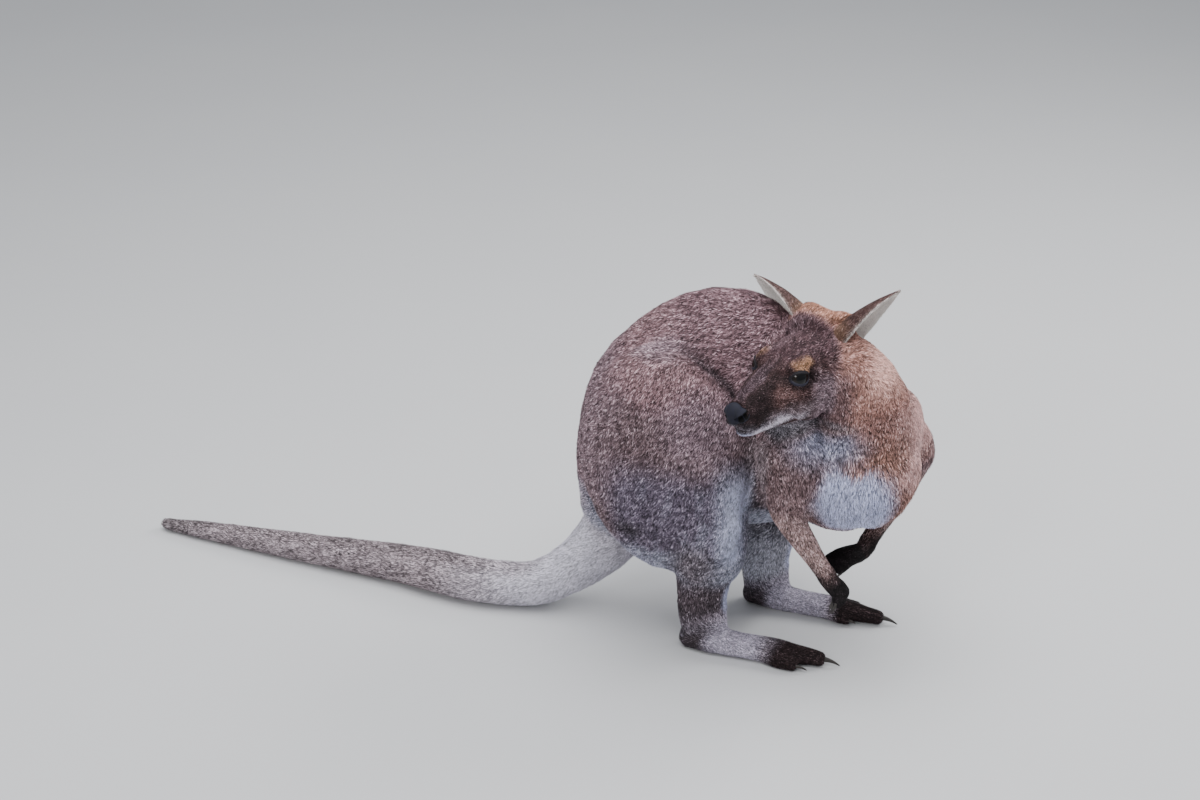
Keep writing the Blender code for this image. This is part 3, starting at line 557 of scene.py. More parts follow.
def body_markings(colour, points, normals, shares):
    """Trunk, haunches, limbs and tail."""
    edge_x, y, z = points.T
    nx, ny, nz = normals.T
    wobble = waves(points, 0.030, 3) * 0.005
    x, z = edge_x + wobble, z + wobble
    neck, trunk, tail, upper, fore, hand, thigh, shank, foot = shares.T[1:]
    flank = trunk + thigh
    streaks = waves(points * (1, 1, 0.35), 0.012, 8)
    haunch_top = blob(points, (0.257, -0.066, 0.342), (0.040, 0.050, 0.040), 0.6)
    spine = blob(points, (0.200, -0.031, 0.423), (0.042, 0.024, 0.010), 0.6)
    rump = [blob(points, (0.174, aside, 0.196), (0.020, 0.040, 0.013), 0.6) for aside in (-0.065, 0.085)]
    front = ramp(edge_x, 0.262, 0.306) ** 1.5 * ramp(z, 0.310, 0.250) * ramp(z, 0.140, 0.170) * ramp(ny, 0.5, 0.1)
    knees = sum(blob(points, knee, (0.034, 0.060, 0.040)) for knee in ((0.258, -0.066, 0.142), (0.324, 0.112, 0.142)))
    between = trunk * ramp(x, 0.308, 0.322) * ramp(x, 0.378, 0.350) * ramp(z, 0.340, 0.300)
    colour = painted(
        colour,
        # painted highlight on the top of the rear back
        (BROWN_TOP_HIGHLIGHT, flank * ramp(z, 0.375, 0.430) * ramp(x, 0.230, 0.180) * 0.7),
        (BROWN_HAUNCH, thigh * ramp(z, 0.385, 0.345)),
        # painted highlight along the top of the haunch
        (BROWN_TOP_HIGHLIGHT, thigh * ramp(z, 0.362, 0.395) * 0.8),
        (BROWN_RUMP, flank * ramp(x, 0.170, 0.125) * ramp(z, 0.200, 0.240) * 0.8),
        # lighter fur on the haunch's top ridge, with a painted highlight
        (HAUNCH_RIDGE_HIGHLIGHT, thigh * haunch_top * 0.7),
        # painted highlight along the top line of the back
        (SPINE_HIGHLIGHT, flank * spine * 0.5),
        (GREY_HAUNCH, flank * ramp(z, 0.315, 0.255) * ramp(x, 0.130, 0.175) * 0.9),
        (PALE_GREY, thigh * ramp(z, 0.300, 0.220) * ramp(x, 0.160, 0.220) * ramp(streaks, 0.2, 1.2) * 0.35),
        (PALE_GREY, flank * ramp(z, 0.178, 0.150) * ramp(x, 0.360, 0.320) * 0.75),
        # painted shade low on the rump, on both sides
        *[(DEEP_SHADE, flank * shade * 0.8) for shade in rump],
        # painted shade in the fold where the haunch meets the flank
        (DEEP_SHADE, crease(thigh, trunk + upper) * ramp(x, 0.215, 0.250) * ramp(z, 0.240, 0.290) * 0.75),
        (HAUNCH_PALE, np.clip(thigh * 2.2, 0, 1) * front * ramp(edge_x, 0.326, 0.318)),
        (KNEE, (flank + shank) * knees * 0.9),
        # painted shade on the flank between the haunch and the arm
        (SHADE_BETWEEN_LIMBS, between * 0.85),
    )

    breast = trunk * ramp(x, 0.330, 0.400)
    breast_side = blob(points, (0.479, -0.055, 0.336), (0.030, 0.030, 0.028))
    throat = blob(points, (0.400, -0.065, 0.345), (0.042, 0.050, 0.026), 0.6)
    bib = blob(points, (0.436, -0.080, 0.268), (0.048, 0.062, 0.058), 0.28)
    ragged = ramp(z + 0.006 * waves(points, 0.010, 11), 0.330, 0.308)
    colour = painted(
        colour,
        (RUFOUS, breast),
        # painted rim light where the chest faces forward
        (CHEST_RIM_HIGHLIGHT, breast * ramp(nx, 0.35, 0.9) * ramp(z, 0.260, 0.310)),
        (CHEST_DARK, breast * breast_side * 0.8),
        (UPPER_ARM, upper),
        (ARM_BACK, upper * ramp(x, 0.352, 0.338) * 0.8),
        (ELBOW, upper * ramp(z, 0.275, 0.240)),
        (THROAT, throat * np.clip(trunk + upper * 0.5 + neck, 0, 1)),
        (WHITE, bib * ragged * np.clip(trunk + upper * ramp(x, 0.384, 0.400), 0, 1)),
        (PALE_GREY, trunk * ramp(z, 0.225, 0.195) * ramp(nz, 0.1, -0.3)),
        (FOREARM, fore),
        (DARK, fore * ramp(z, 0.202, 0.182)),
        (BLACK, np.clip(hand * 1.5, 0, 1)),
        (BLACK, fore * ramp(z, 0.188, 0.172)),
    )

    on_left = y > 0.03
    inner = ramp(np.where(on_left, -ny, ny), 0.25, 0.8)
    along_foot = x - np.where(on_left, 0.3005, 0.2345)
    return painted(
        colour,
        (SHANK, shank),
        (SHANK_PALE, shank * inner * 0.8),
        (WHITE, shank * ramp(nx, 0.55, 0.9)),
        (FOOT, foot),
        (SHANK, foot * ramp(along_foot, 0.050, 0.020) * ramp(nz, 0.7, 0.2)),
        (TOE_BROWN, foot * ramp(along_foot, 0.090, 0.112) * 0.7),
        (DARK, foot * ramp(along_foot, 0.106, 0.130)),
        (TAIL_GREY, tail),
        (TAIL_PALE, tail * ramp(x, -0.120, 0.070) * ramp(nz, 1.3, 0.6)),
        (TAIL_RIDGE, tail * ramp(nz, 0.6, 0.95) * ramp(x, 0.020, -0.080) * 0.6),
        (TAIL_END, tail * ramp(x, -0.430, -0.510) * 0.7),
    )


def head_markings(colour, points, shares):
    """Crown, brow, muzzle, lips, cheek and throat, mirrored on the two sides of the head."""
    x, _, z = points.T
    hx, hy, hz = in_head(points).T
    hy, hz = hy + waves(points, 0.010, 21) * 0.0012, hz + waves(points, 0.010, 22) * 0.0012
    beside = np.abs(hy)
    near = np.stack([hx, beside, hz], axis=1)
    head, neck = shares.T[:2]
    behind = ramp(x, 0.392, 0.368) * ramp(hz, 0.060, 0.050)
    lit_ridge = ramp(hz, 0.028, 0.046) * ramp(hy, 0.004, -0.014) * ramp(hx, -0.075, -0.095)
    muzzle_line = blob(near, (-0.062, 0.016, 0.020), (0.026, 0.007, 0.006), 0.5)
    orbit = blob(near, (-0.085, 0.028, 0.021), (0.021, 0.018, 0.0125), 0.25)
    brow = blob(near, (-0.0900, 0.030, 0.0345), (0.0130, 0.012, 0.0060), 0.5)
    rise = np.maximum(-0.038 - hx, 0) * 0.24
    halo = np.exp(-(((hz + 0.0250 - rise) / 0.0085) ** 2)) * ramp(hx, -0.115, -0.085) * ramp(hx, -0.036, -0.054)
    stripe = np.exp(-(((hz + 0.0350 - rise) / 0.0054) ** 2)) * ramp(hx, -0.098, -0.066) * ramp(hx, -0.020, -0.034)
    stripe = np.clip(stripe * (1.0 + 0.30 * waves(points, 0.0032, 33)), 0, 1)
    return painted(
        colour,
        (RUFOUS, neck * (1 - behind)),
        # paler fur and painted highlight on the top of the neck
        (RUFOUS_PALE_HIGHLIGHT, neck * ramp(x, 0.430, 0.455) * ramp(z, 0.395, 0.440)),
        # painted shade on the neck below and behind the head
        (NECK_SHADE, neck * ramp(x, 0.440, 0.415) * ramp(z, 0.450, 0.430)),
        (BROWN_BACK, neck * behind),
        (FACE, head * ramp(hx, -0.145, -0.120)),
        (CHEEK, head * ramp(hx, -0.088, -0.106) * ramp(hz, 0.030, 0.010) * ramp(hx, -0.150, -0.130)),
        (FOREHEAD, head * ramp(hz, 0.026, 0.042) * ramp(hx, -0.060, -0.085)),
        # paler hairs and painted highlight along the crown's edge
        (CROWN_RIDGE_HIGHLIGHT, head * lit_ridge * 0.3),
        (GOLD, ramp(hz, 0.054, 0.064) * ramp(hx, -0.138, -0.150) * np.maximum(head, neck)),
        (TAWNY, head * blob(near, (-0.064, 0.024, 0.006), (0.020, 0.014, 0.014))),
        (DARK, head * ramp(hx, -0.060, -0.038) * ramp(beside, 0.006, 0.011)),
        (DARK, head * muzzle_line * 0.7),
        (MUZZLE_RIDGE, head * ramp(hx, -0.085, -0.050) * ramp(beside, 0.010, 0.005) * ramp(hz, 0.0, 0.01)),
        (DARK, head * orbit * 0.85),
        (TAN, head * brow * ramp(hy, -0.045, 0.0)),
        (LIP_GREY, head * halo * 0.35),
        (LIP_WHITE, head * stripe * ramp(beside, 0.001, 0.006) * 0.95),
        (JAW_GREY, np.clip(head + neck, 0, 1) * ramp(hz, -0.038, -0.045) * ramp(hx, -0.150, -0.120) * 0.8),
        (CHIN_GREY, head * blob(near, (-0.014, 0.0, -0.0275), (0.016, 0.020, 0.012), 0.4) * 0.8),
        (WHITE, head * blob(near, (-0.020, 0.0, -0.0395), (0.016, 0.012, 0.008), 0.5) * 0.8),
    )


def markings(points, normals, shares):
    """Hair colour at each point, with its painted highlights and shade, as linear red, green and blue."""
    colour = np.tile(np.array(BROWN_BACK), (len(points), 1))
    colour = body_markings(colour, points, normals, shares)
    colour = head_markings(colour, points, shares)
    return colour * (1 + 0.04 * waves(points, 0.012, 5))[:, None]


class Socket:
    """A node's socket in arithmetic: an expression on values adds its Math nodes."""

    def __init__(self, tree, link):
        self.tree = tree
        self.link = link

    def maths(self, operation, a, b):
        node = self.tree.nodes.new("ShaderNodeMath")
        node.operation = operation
        for slot, value in zip(node.inputs, (a, b)):
            if isinstance(value, Socket):
                self.tree.links.new(value.link, slot)
            else:
                slot.default_value = value
        return Socket(self.tree, node.outputs[0])

    def __add__(self, other):
        return self.maths("ADD", self, other)

    def __radd__(self, other):
        return self.maths("ADD", other, self)

    def __mul__(self, other):
        return self.maths("MULTIPLY", self, other)

    def __rmul__(self, other):
        return self.maths("MULTIPLY", other, self)


class Finish:
    """A material with its Principled shader, and a way to add any node by type, settings and inputs."""

    def __init__(self, name, roughness, **plain):
        self.material = bpy.data.materials.new(name)
        self.material.use_nodes = True
        self.tree = self.material.node_tree
        self.shader = self.tree.nodes["Principled BSDF"]
        self.shader.inputs["Roughness"].default_value = roughness
        for socket, value in plain.items():
            self.shader.inputs[socket.replace("_", " ")].default_value = value

    def node(self, kind, settings=None, out=0, **inputs):
        node = self.tree.nodes.new("ShaderNode" + kind)
        for key, value in (settings or {}).items():
            if key == "stops":
                stops = node.color_ramp.elements
                while len(stops) < len(value):
                    stops.new(0.5)
                for stop, (place, colour) in zip(stops, value):
                    stop.position = place
                    stop.color = (*colour, 1)
            else:
                setattr(node, key, value)
        for socket, value in inputs.items():
            number = socket[1:]  # of an input such as i6
            slot = node.inputs[int(number) if number.isdigit() else socket.replace("_", " ")]
            if isinstance(value, Socket):
                self.tree.links.new(value.link, slot)
            else:
                slot.default_value = value
        return Socket(self.tree, node.outputs[out])

    def feed(self, **sockets):
        for socket, value in sockets.items():
            self.tree.links.new(value.link, self.shader.inputs[socket.replace("_", " ")])

    def mixed(self, factor, a, b, kind="MIX"):
        """Two colours mixed. Input 0 is the factor, 6 and 7 the colours."""
        return self.node("Mix", {"data_type": "RGBA", "blend_type": kind}, out=2, i0=factor, i6=a, i7=b)

    def bumped(self, height, strength, distance):
        return self.node("Bump", Height=height, Strength=strength, Distance=distance)

    def noise(self, scale, detail=2.0, **inputs):
        """Noise that stands still in the object."""
        return self.node("TexNoise", Vector=self.node("TexCoord", out=3), Scale=scale, Detail=detail, **inputs)

    def stored(self, name, out=0):
        """What the mesh keeps at its vertices: output 0 as a colour, 2 as a number."""
        return self.node("Attribute", {"attribute_name": name}, out=out)

    def hair_colour(self, pattern, *stops):
        """The stored colour, darker and lighter by the pattern. A stop is a place and a grey."""
        shade = self.node("ValToRGB", {"stops": [(place, (grey,) * 3) for place, grey in stops]}, Fac=pattern)
        return self.mixed(1.0, self.stored("hair"), shade, "MULTIPLY")


def tinted(piece, colours):
    """Stores a hair colour for every vertex."""
    layer = piece.data.attributes.new("hair", "FLOAT_COLOR", "POINT")
    full = np.ones((len(piece.data.vertices), 4), np.float32)
    full[:, :3] = colours
    layer.data.foreach_set("color", full.ravel())


def numbered(piece, name, values):
    """Stores a number for every vertex."""
    piece.data.attributes.new(name, "FLOAT", "POINT").data.foreach_set("value", values)


UNDERFUR = 0.50  # brightness of the skin beside that of the hair over it
under = Finish("skin_under_hair", 0.85, Specular_IOR_Level=0.2)
streaks = under.noise(520.0, 3.0, Roughness=0.6)
under.feed(
    Base_Color=under.hair_colour(streaks, (0.30, 0.45), (0.70, 1.25)),
    Normal=under.bumped(streaks, 0.5, 0.0012),
)
skin_normals = normals_of(skin)
tinted(skin, markings(points, skin_normals, shares) * UNDERFUR)
skin.data.materials.append(under.material)


# ---------------------------------------------------------------- the nose pad
# Bare, black, finely pebbled skin round two comma-shaped nostrils, set into the end of the muzzle.
NOSE_GRAIN, NOSTRIL_GRAIN = 0.0006, 0.0004
HOLLOWS = (  # centre and radius of the dark inside a nostril, along its curve
    ((-0.0082, 0.0116, -0.0072), 0.0049),
    ((-0.0122, 0.0143, -0.0046), 0.0046),
    ((-0.0157, 0.0152, -0.0014), 0.0034),
)
nose_mesh = bmesh.new()
ball(nose_mesh, (-0.0108, 0, -0.0040), (0.0097, 0.0112, 0.0112), place=HEAD)
ball(nose_mesh, (-0.0095, 0, -0.0110), (0.0072, 0.0085, 0.0070), place=HEAD)
for sign in SIDES.values():
    ball(nose_mesh, (-0.0146, 0.0086 * sign, -0.0062), (0.0110, 0.0065, 0.0090), place=HEAD)
nose = fused("nose_pad", nose_mesh, NOSE_GRAIN)
moved_to(nose, relaxed(points_of(nose), edges_of(nose), 12))
for sign in SIDES.values():
    nostril_mesh = bmesh.new()
    nostril = (
        (-0.0036, 0.0070 * sign, -0.0090, 0.0026, 0.0024, 0.0024),
        (-0.0082, 0.0116 * sign, -0.0072, 0.0043, 0.0039, 0.0039),
        (-0.0120, 0.0143 * sign, -0.0048, 0.0040, 0.0036, 0.0036),
        (-0.0157, 0.0154 * sign, -0.0016, 0.0027, 0.0025, 0.0025),
        (-0.0182, 0.0155 * sign, 0.0014, 0.0014, 0.0014, 0.0014),
    )
    tube(nostril_mesh, nostril, (0, 0, 1), sides=16, place=HEAD)
    cutter = made("nostril", nostril_mesh)
    shaped(nose, "cut", "BOOLEAN", operation="DIFFERENCE", solver="EXACT", object=cutter)
    bpy.data.objects.remove(cutter)
shaped(nose, "fuse", "REMESH", mode="VOXEL", voxel_size=NOSTRIL_GRAIN)
moved_to(nose, relaxed(points_of(nose), edges_of(nose), 3))
smooth(nose)
leather = Finish("nose_leather", 0.42, Specular_IOR_Level=0.35)
pebbles = leather.node("TexVoronoi", Vector=leather.node("TexCoord", out=3), Scale=1300.0)
damp = leather.noise(220.0)
hollow = leather.stored("hollow", 2)
skin_black = leather.mixed(damp, (0.007, 0.007, 0.015, 1), (0.025, 0.026, 0.055, 1))
leather.feed(
    # the nostrils' insides painted near black: painted shade deep in the holes
    Base_Color=leather.mixed(hollow, skin_black, (0.0012, 0.0010, 0.0012, 1)),
    Roughness=damp * 0.30 + 0.36 + hollow * 0.6,
    Normal=leather.bumped(pebbles, 0.40, 0.0004),
)
nose_points = in_head(points_of(nose))
nose_points[:, 1] = np.abs(nose_points[:, 1])
near_nostril = np.min([np.linalg.norm(nose_points - centre, axis=1) / radius for centre, radius in HOLLOWS], axis=0)
numbered(nose, "hollow", ramp(np.minimum(near_nostril, 1), 1.08, 0.92))  # half over the pad, 1 in the nostrils
nose.data.materials.append(leather.material)
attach(nose, "root")
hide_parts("nose")


# ---------------------------------------------------------------- the eyes
# Dark glossy balls deep in the orbits, nearly all pupil and dark brown iris, under a clear cornea
# that stands a little proud. Bare blue-grey lids with a fold run round each, closing to two corners.
BALL_SIDES, BALL_RINGS, LID_SIDES = 48, 32, 64
IRIS_ANGLE, CORNEA_ANGLE, CORNEA_RISE = 70, 48, 0.035  # degrees from the eye's axis, and a share of its radius
LID_THICKNESS = 0.0005
# the first colour is the upper lid's dark skin with the brow's painted shade over it, the second the lower lid's
# blue-grey
LID_DARK_AND_SHADE, LID_BLUE = (0.022, 0.018, 0.022), (0.046, 0.045, 0.070)
eye_shine = Finish("eye_ball", 0.05, Specular_IOR_Level=0.30)
pupil_distance = eye_shine.stored("from_pupil", 2)
iris_colours = (
    (0.00, (0.0008, 0.0008, 0.0012)),
    (0.42, (0.0010, 0.0010, 0.0014)),
    (0.52, (0.0100, 0.0055, 0.0035)),
    (0.74, (0.0070, 0.0042, 0.0030)),
    (0.86, (0.0030, 0.0026, 0.0028)),
    (1.00, (0.0200, 0.0180, 0.0200)),
)
eye_shine.feed(Base_Color=eye_shine.node("ValToRGB", {"stops": iris_colours}, Fac=pupil_distance))
lid_skin = Finish("eyelid_skin", 0.60, Specular_IOR_Level=0.2)
wrinkles = lid_skin.noise(900.0, 3.0)
lid_skin.feed(
    Base_Color=lid_skin.mixed(wrinkles, (0.006, 0.005, 0.007, 1), lid_skin.stored("hair")),
    Normal=lid_skin.bumped(wrinkles, 0.6, 0.0006),
)
# Degrees past the lids' edge, and height over the eyeball: edge, lid, fold, and out under the hair.
LID_ROWS = (
    (-5, -0.0009),
    (-1.5, 0.0001),
    (0, 0.0005),
    (2.5, 0.0009),
    (6, 0.0010),
    (9, 0.0008),
    (11, 0.0004),
    (13, 0.0008),
    (17, 0.0009),
    (22, 0.0004),
    (27, -0.0006),
)
for side in SIDES:
    ball_mesh = bmesh.new()
    bmesh.ops.create_uvsphere(ball_mesh, u_segments=BALL_SIDES, v_segments=BALL_RINGS, radius=EYE_RADIUS)
    ahead, up, out = eye_frame(side)
    turn = Matrix(np.array((ahead, np.cross(out, ahead), out)).T.tolist()).to_4x4()
    near_pupil = []
    for vertex in ball_mesh.verts:
        tip = math.acos(max(-1, min(1, vertex.co.z / EYE_RADIUS)))
        near_pupil.append(min(tip / math.radians(IRIS_ANGLE), 1))
        vertex.co *= 1 + CORNEA_RISE * max(0, 1 - tip / math.radians(CORNEA_ANGLE)) ** 1.5
        vertex.co = HEAD @ Matrix.Translation(EYE[side]) @ turn @ vertex.co
    eye = made(f"eyeball_{side}", ball_mesh)
    numbered(eye, "from_pupil", near_pupil)
    smooth(eye)
    eye.data.materials.append(eye_shine.material)
    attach(eye, "root")
    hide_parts(f"eye_{side}")

    lid_mesh = bmesh.new()
    rows = []
    for past, height in LID_ROWS:
        row = []
        for k in range(LID_SIDES):
            turn_angle = math.tau * k / LID_SIDES
            tip = math.radians(lid_angle(turn_angle) + past)
            brow = 1 + 0.8 * max(0, math.sin(turn_angle)) * (2 < past < 20)
            way = np.cos(tip) * out + np.sin(tip) * (math.cos(turn_angle) * ahead + math.sin(turn_angle) * up)
            point = np.array(EYE[side]) + way * (EYE_RADIUS * 1.01 + height * brow)
            row.append(lid_mesh.verts.new(HEAD @ Vector(point)))
        rows.append(row)
    walled(lid_mesh, rows)
    bmesh.ops.recalc_face_normals(lid_mesh, faces=lid_mesh.faces)
    centre = HEAD @ EYE[side]
    if sum((f.calc_center_median() - centre).dot(f.normal) for f in lid_mesh.faces) < 0:
        bmesh.ops.reverse_faces(lid_mesh, faces=lid_mesh.faces)
    lids = made(f"eyelids_{side}", lid_mesh)
    heights = in_head(points_of(lids)) @ up - np.array(EYE[side]) @ up
    dark = np.tile(LID_DARK_AND_SHADE, (len(heights), 1))
    # upper lid near black, dark skin under painted shade from the brow; lower lid blue-grey
    tinted(lids, painted(dark, (LID_BLUE, ramp(heights, 0.000, -0.004))))
    shaped(lids, "thick", "SOLIDIFY", thickness=LID_THICKNESS, offset=-1)
    shaped(lids, "rounder", "SUBSURF", levels=1, render_levels=1)
    smooth(lids)
    lids.data.materials.append(lid_skin.material)
    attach(lids, "root")


# ---------------------------------------------------------------- the ears
# Leaf-shaped sheets of gristle and skin, rolled to a tube at the root and open towards the tip.
# Their backs are dark, their insides pale, and their roots golden.
EAR_LENGTH = 0.0868
EAR_WIDTH = 0.0425
EAR_ROOT = {"r": Vector((-0.159, -0.0225, 0.0510)), "l": Vector((-0.150, 0.0250, 0.0460))}
EAR_AXIS = {"r": Vector((-0.835, 0.466, 0.300)), "l": Vector((0.800, 0.161, 0.578))}
EAR_OPENING = {"r": Vector((-0.555, -0.722, -0.421)), "l": Vector((0.70, -0.53, -0.48))}
EAR_PROFILE = (
    # share of the length, half the unrolled width as a share of the ear's width, half the roll in degrees
    (0.00, 0.60, 150),
    (0.12, 0.78, 125),
    (0.26, 0.82, 100),
    (0.48, 0.70, 82),
    (0.70, 0.48, 70),
    (0.86, 0.28, 62),
    (0.96, 0.12, 60),
    (1.00, 0.04, 60),
)
EAR_ROWS, EAR_COLUMNS = 34, 22
EAR_SET_BACK, EAR_BOW = 0.010, 0.004  # of the sheet's back, behind its axis
EAR_HALF_THICKNESS = 0.0006
EAR_BACK = (0.100, 0.055, 0.050)
EAR_ROOT_GOLD = (0.260, 0.150, 0.105)
EAR_TIP = (0.42, 0.34, 0.32)
EAR_MARGIN = (0.30, 0.23, 0.21)
EAR_RIM = (0.70, 0.62, 0.58)
EAR_INSIDE = (0.950, 0.900, 0.850)
EAR_INSIDE_ROOT = (0.30, 0.22, 0.22)


def ear_sheet(side, rows, columns):
    """Points of an ear as rows from root to tip, with the outward way at each: away from the opening."""
    axis = EAR_AXIS[side].normalized()
    opening = EAR_OPENING[side]
    opening = (opening - axis * opening.dot(axis)).normalized()
    across = axis.cross(opening)
    root = HEAD @ EAR_ROOT[side]
    shares, widths, rolls = zip(*EAR_PROFILE)
    grid, outward = [], []
    for t in np.linspace(0, 1, rows + 1):
        roll = math.radians(np.interp(t, shares, rolls))
        radius = np.interp(t, shares, widths) * EAR_WIDTH / roll
        back = root + axis * (EAR_LENGTH * t) - opening * (EAR_SET_BACK + EAR_BOW * math.sin(math.pi * t))
        line, ways = [], []
        for j in range(columns + 1):
            angle = (j / columns * 2 - 1) * roll
            line.append(back + across * math.sin(angle) * radius + opening * (1 - math.cos(angle)) * radius)
            ways.append(across * math.sin(angle) - opening * math.cos(angle))
        grid.append(line)
        outward.append(ways)
    return np.array(grid), np.array(outward)


def ear_colour(share, edge, inside):
    """Colour along an ear: share runs root to tip, edge is 1 at its rims."""
    back = painted(
        np.tile(EAR_BACK, (len(share), 1)),
        (EAR_ROOT_GOLD, ramp(share, 0.34, 0.06) * 0.8),
        (EAR_TIP, ramp(share, 0.955, 0.99)),
        (EAR_MARGIN, ramp(edge, 0.80, 0.92) * 0.5),
        (EAR_RIM, ramp(edge, 0.92, 0.97)),
    )
    pale = painted(np.tile(EAR_INSIDE, (len(share), 1)), (EAR_INSIDE_ROOT, ramp(share, 0.14, 0.02) * 0.7))
    return np.where(inside[:, None], pale, back)


ear_velvet = Finish("ear_velvet", 0.80, Specular_IOR_Level=0.15)
down = ear_velvet.noise(900.0, 3.0)
ear_velvet.feed(
    Base_Color=ear_velvet.hair_colour(down, (0.30, 0.86), (0.70, 1.04)),
    Normal=ear_velvet.bumped(down, 0.3, 0.0006),
)
ears = {}
for side in SIDES:
    grid, outward = ear_sheet(side, EAR_ROWS, EAR_COLUMNS)
    ear_mesh = bmesh.new()
    thin = np.linspace(1.6, 0.5, EAR_ROWS + 1)[:, None, None]
    layers = []
    for shift in (EAR_HALF_THICKNESS, -EAR_HALF_THICKNESS):
        layers.append([[ear_mesh.verts.new(point) for point in line] for line in grid + outward * shift * thin])
    outer, inner = layers
    for one, two, three, four in zip(outer, outer[1:], inner, inner[1:]):
        for j in range(EAR_COLUMNS):
            ear_mesh.faces.new((one[j], two[j], two[j + 1], one[j + 1]))
            ear_mesh.faces.new((three[j], three[j + 1], four[j + 1], four[j]))
        for j, flip in ((0, 1), (EAR_COLUMNS, -1)):
            ear_mesh.faces.new((one[j], three[j], four[j], two[j])[::flip])
    for i, flip in ((0, -1), (EAR_ROWS, 1)):
        for j in range(EAR_COLUMNS):
            ear_mesh.faces.new((outer[i][j], inner[i][j], inner[i][j + 1], outer[i][j + 1])[::-flip])
    bmesh.ops.recalc_face_normals(ear_mesh, faces=ear_mesh.faces)
    ear = made(f"ear_flap_{side}", ear_mesh)
    share = np.tile(np.repeat(np.linspace(0, 1, EAR_ROWS + 1), EAR_COLUMNS + 1), 2)
    edge = np.tile(np.abs(np.linspace(-1, 1, EAR_COLUMNS + 1)), 2 * (EAR_ROWS + 1))
    inside = np.arange(len(share)) >= len(share) // 2
    tinted(ear, ear_colour(share, edge, inside) * np.where(inside, 1.0, 0.5)[:, None])
    smooth(ear)
    ear.data.materials.append(ear_velvet.material)
    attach(ear, "root")
    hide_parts(f"ear_{side}")
    rising, crossing = np.gradient(grid, axis=0), np.gradient(grid, axis=1)
    facing = np.cross(rising, crossing)
    facing *= np.sign((facing * outward).sum(axis=2))[:, :, None]
    ears[side] = (grid, facing / np.linalg.norm(facing, axis=2)[:, :, None], rising)


# ---------------------------------------------------------------- the claws
# Dark horn, worn smooth: a long stout claw on each fourth toe, shorter ones beside it, and five
# small curved ones on each hand. Each grows from its fingertip or toe and curves down.
HEEL = {"r": Vector((0.2342, -0.0221, 0.0)), "l": Vector((0.3002, 0.0899, 0.0))}
FOOT_HEADING = {"r": -2.0, "l": -5.0}
FOOT_LENGTH = 0.190
WRIST = {"r": Vector((0.4192, -0.0851, 0.167)), "l": Vector((0.4522, -0.0171, 0.170))}
KNUCKLE = {"r": Vector((0.4362, -0.0871, 0.154)), "l": Vector((0.4312, -0.0341, 0.169))}
FINGERTIP = {"r": Vector((0.4242, -0.0921, 0.142)), "l": Vector((0.4162, -0.0451, 0.158))}
HIND_CLAWS = (
    # name, share of the foot length, distance from the foot's line, height, length, thickness
    ("fourth", 0.965, 0.0000, 0.0095, 0.019, 0.0036),
    ("fifth", 0.800, 0.0205, 0.0080, 0.012, 0.0025),
    ("joined", 0.755, -0.0175, 0.0080, 0.008, 0.0020),
)
FINGER_GAP = 0.0062
FINGER_REACH = (0.82, 0.96, 1.0, 0.96, 0.82)  # share of the middle finger's length
HAND_CLAW = (0.0085, 0.0019)  # length, thickness
horn = Finish("claw_horn", 0.38, Specular_IOR_Level=0.5)
streaked = horn.node("Mapping", Vector=horn.node("TexCoord", out=3), Scale=(120.0, 900.0, 900.0))
grain = horn.node("TexNoise", Vector=streaked, Scale=1.0, Detail=3.0)
horn.feed(
    Base_Color=horn.mixed(grain, (0.010, 0.008, 0.007, 1), (0.045, 0.036, 0.030, 1)),
    Roughness=grain * 0.25 + 0.25,
    Normal=horn.bumped(grain, 0.3, 0.0003),
)


def claw(mesh, root, way, bend, length, thick):
    """A curved horn: deep and narrow at its root, drawn out to a blunt point."""
    way, bend = way.normalized(), bend.normalized()
    stations = []
    for t in np.linspace(-0.15, 1.0, 7):
        point = root + way * length * t + bend * length * 0.32 * max(t, 0) ** 2
        size = max(thick * (1 - 0.78 * max(t, 0) ** 1.2), 0.0005)
        stations.append((*point, size * 0.82, size, size))
    tube(mesh, stations, tuple(-bend), sides=14, steps=2, ends=(0.3, 0.9))


for side, out in SIDES.items():
    turned = Matrix.Translation(HEEL[side]) @ Matrix.Rotation(math.radians(FOOT_HEADING[side]), 4, "Z")
    toe_way = turned.to_3x3() @ Vector((1, 0, 0))
    claw_mesh = bmesh.new()
    for name, share, aside, height, claw_length, thick in HIND_CLAWS:
        root = turned @ Vector((share * FOOT_LENGTH, aside * out, height))
        claw(claw_mesh, root, toe_way, Vector((0, 0, -1)), claw_length, thick)
    foot_claws = made(f"foot_claws_{side}", claw_mesh)
    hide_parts(*[f"claw_foot_{row[0]}_{side}" for row in HIND_CLAWS])
    down = (KNUCKLE[side] - WRIST[side]).normalized()
    palm_way = (FINGERTIP[side] - KNUCKLE[side]).normalized()
    spread = down.cross(palm_way).normalized()
    reach = (FINGERTIP[side] - KNUCKLE[side]).length
    claw_mesh = bmesh.new()
    for finger, share in enumerate(FINGER_REACH):
        aside = spread * (finger - 2) * FINGER_GAP
        root = KNUCKLE[side] + aside - down * 0.002
        tip = KNUCKLE[side] + aside * 1.3 + palm_way * reach * share
        way = (tip - root).normalized()
        claw(claw_mesh, tip - way * 0.001, way + down * 0.4, palm_way, *HAND_CLAW)
    hand_claws = made(f"hand_claws_{side}", claw_mesh)
    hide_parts(*[f"claw_hand_{finger + 1}_{side}" for finger in range(5)])
    for piece in (foot_claws, hand_claws):
        smooth(piece)
        piece.data.materials.append(horn.material)
        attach(piece, "root")


